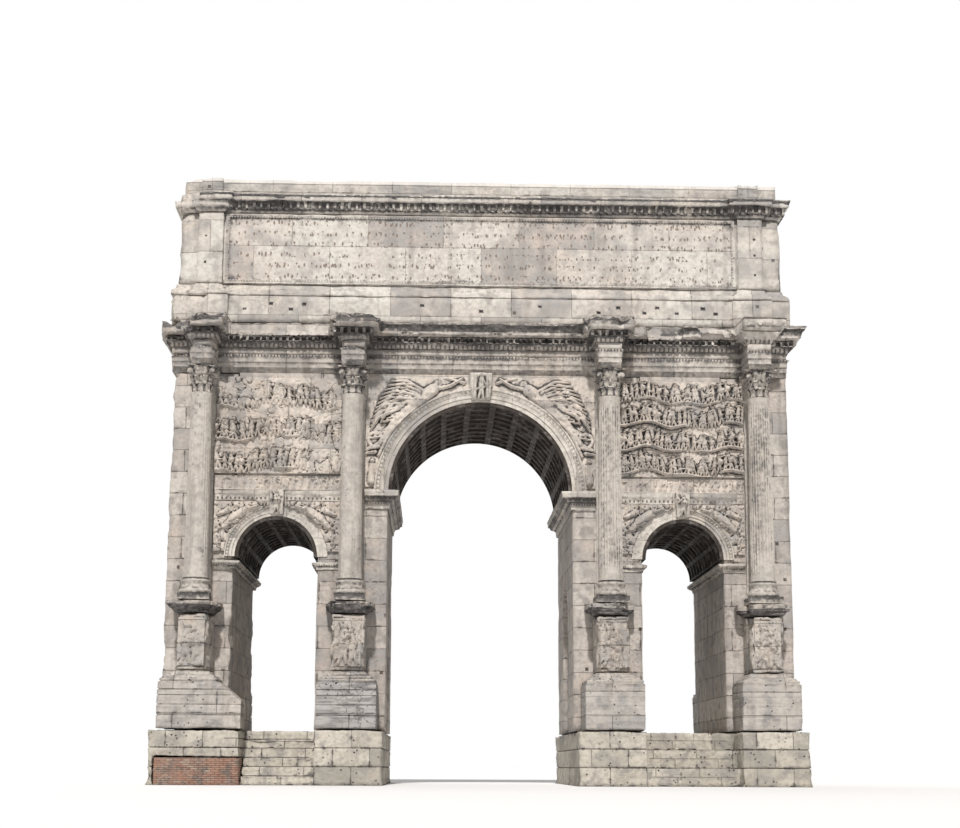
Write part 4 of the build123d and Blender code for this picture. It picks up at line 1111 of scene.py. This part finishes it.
bm = bmesh.new()
for face, cell in ((-1, 0.035), (1, 0.05)):
    for side in (-1, 1):
        x_range = tuple(sorted((side * 0.47, side * 4.31)))
        relief_slab(bm, x_range, (10.95, 15.26), cell, face,
                    lambda x, z: winged_figure(np.abs(x), z), outside(main_centre, main_radii[1]))
        for half in (-1, 1):
            middle = side * side_centre[0]
            x_range = tuple(sorted((middle + half * 0.30, middle + half * 2.32)))
            relief_slab(bm, x_range, (8.50, 10.36), cell, face,
                        lambda x, z: leaning_figure(-np.abs(x - middle), z),
                        outside((middle, side_centre[1]), side_radii[1]))
high_up = np.array([v.co.z > 10.9 for v in bm.verts])
finish_piece(bm, "arch_figures", "relief_marble", (), relief_shade_and_crust(bm, 18.0) + 0.22 * high_up)

# %% [markdown]
# The sunk panel of each pedestal once showed two standing figures. They are worn to shapes full of holes.

# %% Pedestal reliefs
die_half = 0.47
die_z = (4.19, 5.90)
die_sunk = 0.075
die_wall = -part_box("pedestal_dies_front")[0][1] - die_sunk


def pedestal_carving(seed):
    """A height map of two worn figures in a sunk panel, counted from the pedestal's axis."""
    def carve(x, z):
        place = on_wall(x, z, seed * 2.3)
        field = 0.03 * rough(place, 0.4, seed)
        standing_figure(field, x, z, (-0.18, 4.28), 1.45, 0.1, (-0.15, -0.3), False, (0.4, 2.0, 4.0))
        standing_figure(field, x, z, (0.22, 4.25), 1.30, -0.2, (0.15, -0.25), False, (1.4, 3.0, 5.0))
        eaten = patches(place, 0.22, seed + 2, 3.0, 1.2)
        return field * (1 - 0.8 * eaten) + 0.04 * rough(place, 0.15, seed + 1) - 0.04 * eaten
    return carve


bm = bmesh.new()
for face, cell in ((-1, 0.033), (1, 0.05)):
    for k, axis_x in enumerate(column_x):
        carve = pedestal_carving(30 + k)
        relief_slab(bm, (axis_x - die_half, axis_x + die_half), die_z, cell, face,
                    lambda x, z: carve(x - axis_x, z), wall=die_wall)
finish_piece(bm, "pedestal_figures", "pedestal_marble", (), relief_shade_and_crust(bm, 15.0))

# %% [markdown]
# A standing figure leans out with the main keystone. It is the same kind of height map, sheared to the
# slope of the wedge. The keystones of the side arches carry a smaller one, on their own slope.

# %% Keystone figures
keystone_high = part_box("keystones")[1]
keystone_slope = 0.22
keystone_half = 0.33
keystone_z = (14.27, 15.20)
side_key_wall = 3.94
side_key_slope = 0.3
side_key_top = 10.37
side_key_half = 0.24
side_key_z = (9.88, 10.77)


def keystone_carving(x, z):
    """A height map of one draped figure."""
    place = on_wall(x, z, 9.1)
    field = np.zeros(len(x))
    standing_figure(field, x, z, (0.0, 14.30), 0.92, 0.1, (0.2, -0.3), False, (3.6, 5.2, 0.8))
    swell(field, x, z, (-0.24, 14.35), (-0.20, 15.15), 0.07, 0.05, 0.10)
    swell(field, x, z, (0.24, 14.35), (0.22, 15.15), 0.07, 0.05, 0.10)
    return 0.01 + field * (0.9 + 0.5 * rough(place, 0.25, 8)) + 0.03 * rough(place, 0.1, 9)


bm = bmesh.new()
for face, cell in ((-1, 0.03), (1, 0.045)):
    relief_slab(bm, (-keystone_half, keystone_half), keystone_z, cell, face, keystone_carving,
                wall=keystone_high[1] - 0.04)
for vert in bm.verts:
    inward = 1 if vert.co.y < 0 else -1
    vert.co.y += inward * keystone_slope * (keystone_high[2] - vert.co.z)
finish_piece(bm, "keystone_figures", "trim_marble", (), relief_shade_and_crust(bm, 20.0))


def bracket_carving(x, z):
    """A height map of the small worn figure on a side keystone, counted from its axis."""
    place = on_wall(x, z, 2.9)
    field = np.zeros(len(x))
    standing_figure(field, x, z, (0.0, 9.92), 0.80, 0.0, (-0.25, -0.2), True, (0.9, 2.4, 4.4))
    return 0.01 + field * (0.7 + 0.6 * rough(place, 0.2, 18)) + 0.04 * rough(place, 0.1, 19)


bm = bmesh.new()
for face, cell in ((-1, 0.028), (1, 0.045)):
    for axis_x in (-side_centre[0], side_centre[0]):
        relief_slab(bm, (axis_x - side_key_half, axis_x + side_key_half), side_key_z, cell, face,
                    lambda x, z: bracket_carving(x - axis_x, z), wall=side_key_wall)
for vert in bm.verts:
    inward = 1 if vert.co.y < 0 else -1
    vert.co.y += inward * side_key_slope * max(side_key_top - vert.co.z, 0)
finish_piece(bm, "side_keystone_figures", "trim_marble", (), relief_shade_and_crust(bm, 14.0))

# %% [markdown]
# A string of small beads runs round the great panel of the attic. Each bead is a coarse ball, half sunk in
# the frame.

# %% Beads round the attic panel
panel_low, panel_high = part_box("inscription_panels")
bead_radius = 0.032
bead_gap = 0.105
bead_inset = 0.13
bead_sunk = 0.012
bm = bmesh.new()
for y in (panel_low[1] + bead_sunk, panel_high[1] - bead_sunk):
    left, right = panel_low[0] + bead_inset, panel_high[0] - bead_inset
    bottom, top = panel_low[2] + bead_inset, panel_high[2] - bead_inset
    across = int((right - left) / bead_gap)
    upwards = int((top - bottom) / bead_gap)
    places = [(left + (right - left) * k / across, z) for k in range(across + 1) for z in (bottom, top)]
    places += [(x, bottom + (top - bottom) * k / upwards) for k in range(1, upwards) for x in (left, right)]
    for x, z in places:
        place = Matrix.Translation((x, y, z))
        bmesh.ops.create_icosphere(bm, subdivisions=1, radius=bead_radius, matrix=place)
finish_piece(bm, "panel_beads", "attic_marble")

# %% [markdown]
# A shaft is turned from one block and then cut with twenty-four hollows. A grid is rolled into a tube: its
# radius narrows upwards, the hollows are taken off, and where the stone has weathered they fade out. The
# ends flare.

# %% Column shafts
shaft_low, shaft_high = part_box("column_shafts_front")
shaft_z = (shaft_low[2], shaft_high[2])
shaft_radius = 0.450
shaft_taper = 0.055
column_y = 4.52
column_axes = [(x, y) for y in (-column_y, column_y) for x in column_x]
flute_keep = [0.35, 0.25, 0.95, 0.95, 0.7, 0.8, 0.6, 0.7]
flutes = 24
cells_per_flute = 6
shaft_rows = 34


def rolled_shaft(bm, axis, keep, seed):
    """Adds one fluted shaft round an upright axis; keep is how much of its flutes is left."""
    roll = bmesh.new()
    bmesh.ops.create_grid(roll, x_segments=flutes * cells_per_flute, y_segments=shaft_rows, size=0.5)
    spots = np.array([v.co[:2] for v in roll.verts]) + 0.5
    turn = 2 * pi * spots[:, 0]
    share = spots[:, 1]
    z = shaft_z[0] + (shaft_z[1] - shaft_z[0]) * share
    upright = np.stack([np.cos(turn), np.sin(turn), z], axis=1)
    phase = (spots[:, 0] * flutes + 0.5) % 1 - 0.5
    hollow = np.sqrt(np.clip(1 - (phase / 0.40) ** 2, 0, 1))
    ends = np.clip(np.minimum(share, 1 - share) * 22 - 0.7, 0, 1)
    eaten = rough(upright * (1, 1, 0.5), 0.5, seed)
    lost = np.clip(eaten * 2 - 0.8, 0, 1) * (1.2 - keep * 0.5)
    left = np.clip(keep * 1.3 - lost - (share < 0.12) * 0.3, 0, 1)
    flare = 0.035 * np.clip(1 - np.minimum(share, 1 - share) * 26, 0, 1)
    radius = shaft_radius - shaft_taper * share ** 1.3 + flare - 0.040 * hollow * ends * left
    radius -= 0.03 * eaten * (1 - keep * 0.6) + 0.008 * rough(upright, 0.1, seed + 2)
    for vert, angle, reach, height in zip(roll.verts, turn, radius, z):
        vert.co = (axis[0] + reach * cos(angle), axis[1] + reach * sin(angle), height)
    bmesh.ops.remove_doubles(roll, verts=roll.verts, dist=0.0008)
    bmesh.ops.holes_fill(roll, edges=[e for e in roll.edges if e.is_boundary], sides=0)
    bmesh.ops.recalc_face_normals(roll, faces=roll.faces)
    pour(roll, bm)


for word, first in (("front", 0), ("back", 4)):
    bm = bmesh.new()
    for k in range(first, first + 4):
        rolled_shaft(bm, column_axes[k], flute_keep[k], 60 + k)
    points, normals, hollow = weather(bm, 0.004, 0.0, 9)
    axes = np.array(column_axes[first:first + 4])
    reach = np.min(np.hypot(points[:, None, 0] - axes[:, 0], points[:, None, 1] - axes[:, 1]), axis=1)
    share = (points[:, 2] - shaft_z[0]) / (shaft_z[1] - shaft_z[0])
    narrow = shaft_radius - shaft_taper * share - reach
    # Painted shade in the flutes: the deeper a point lies in its flute, the darker it is painted, with
    # streaks of crust over it.
    crust_and_shade = np.clip(narrow * 12, 0, 0.50) + 0.55 * (rough(points * (1, 1, 0.3), 0.5, 12) - 0.5)
    finish_piece(bm, "fluted_shafts_" + word, "column_marble", ("column_shafts_" + word,), crust_and_shade)

# %% [markdown]
# Capitals and column bases are the frame's own shapes, eaten by the weather: leaves and scrolls lose their
# tips, and the two on the left are worn to lumps.

# %% Capitals and column bases
capital_lumps = [((-10.35, -4.52, 14.7), (0.66, 0.66, 4.0), (0, 0, 0)),
                 ((-4.77, -4.52, 14.7), (0.74, 0.74, 4.0), (0, 0, 0))]
base_lumps = [((-10.35, -4.52, 6.9), (0.70, 0.70, 4.0), (0, 0, 0)),
              ((-4.77, -4.52, 6.9), (0.74, 0.74, 4.0), (0, 0, 0))]
for node, depth, chip, lost in (("capitals_front", 0.10, 0.06, capital_lumps),
                                ("column_bases_front", 0.04, 0.03, base_lumps)):
    bm = frame_copy(node)
    bmesh.ops.triangulate(bm, faces=bm.faces[:])
    points, normals, hollow = weather(bm, depth, chip, 77, 0.4, lost)
    # Crust and painted shade, darker all over on the capitals and bases.
    crust_and_shade = crust_and_painted_shade(points, normals, hollow) + 0.25
    finish_piece(bm, "worn_" + node, "column_marble", (node,), crust_and_shade)
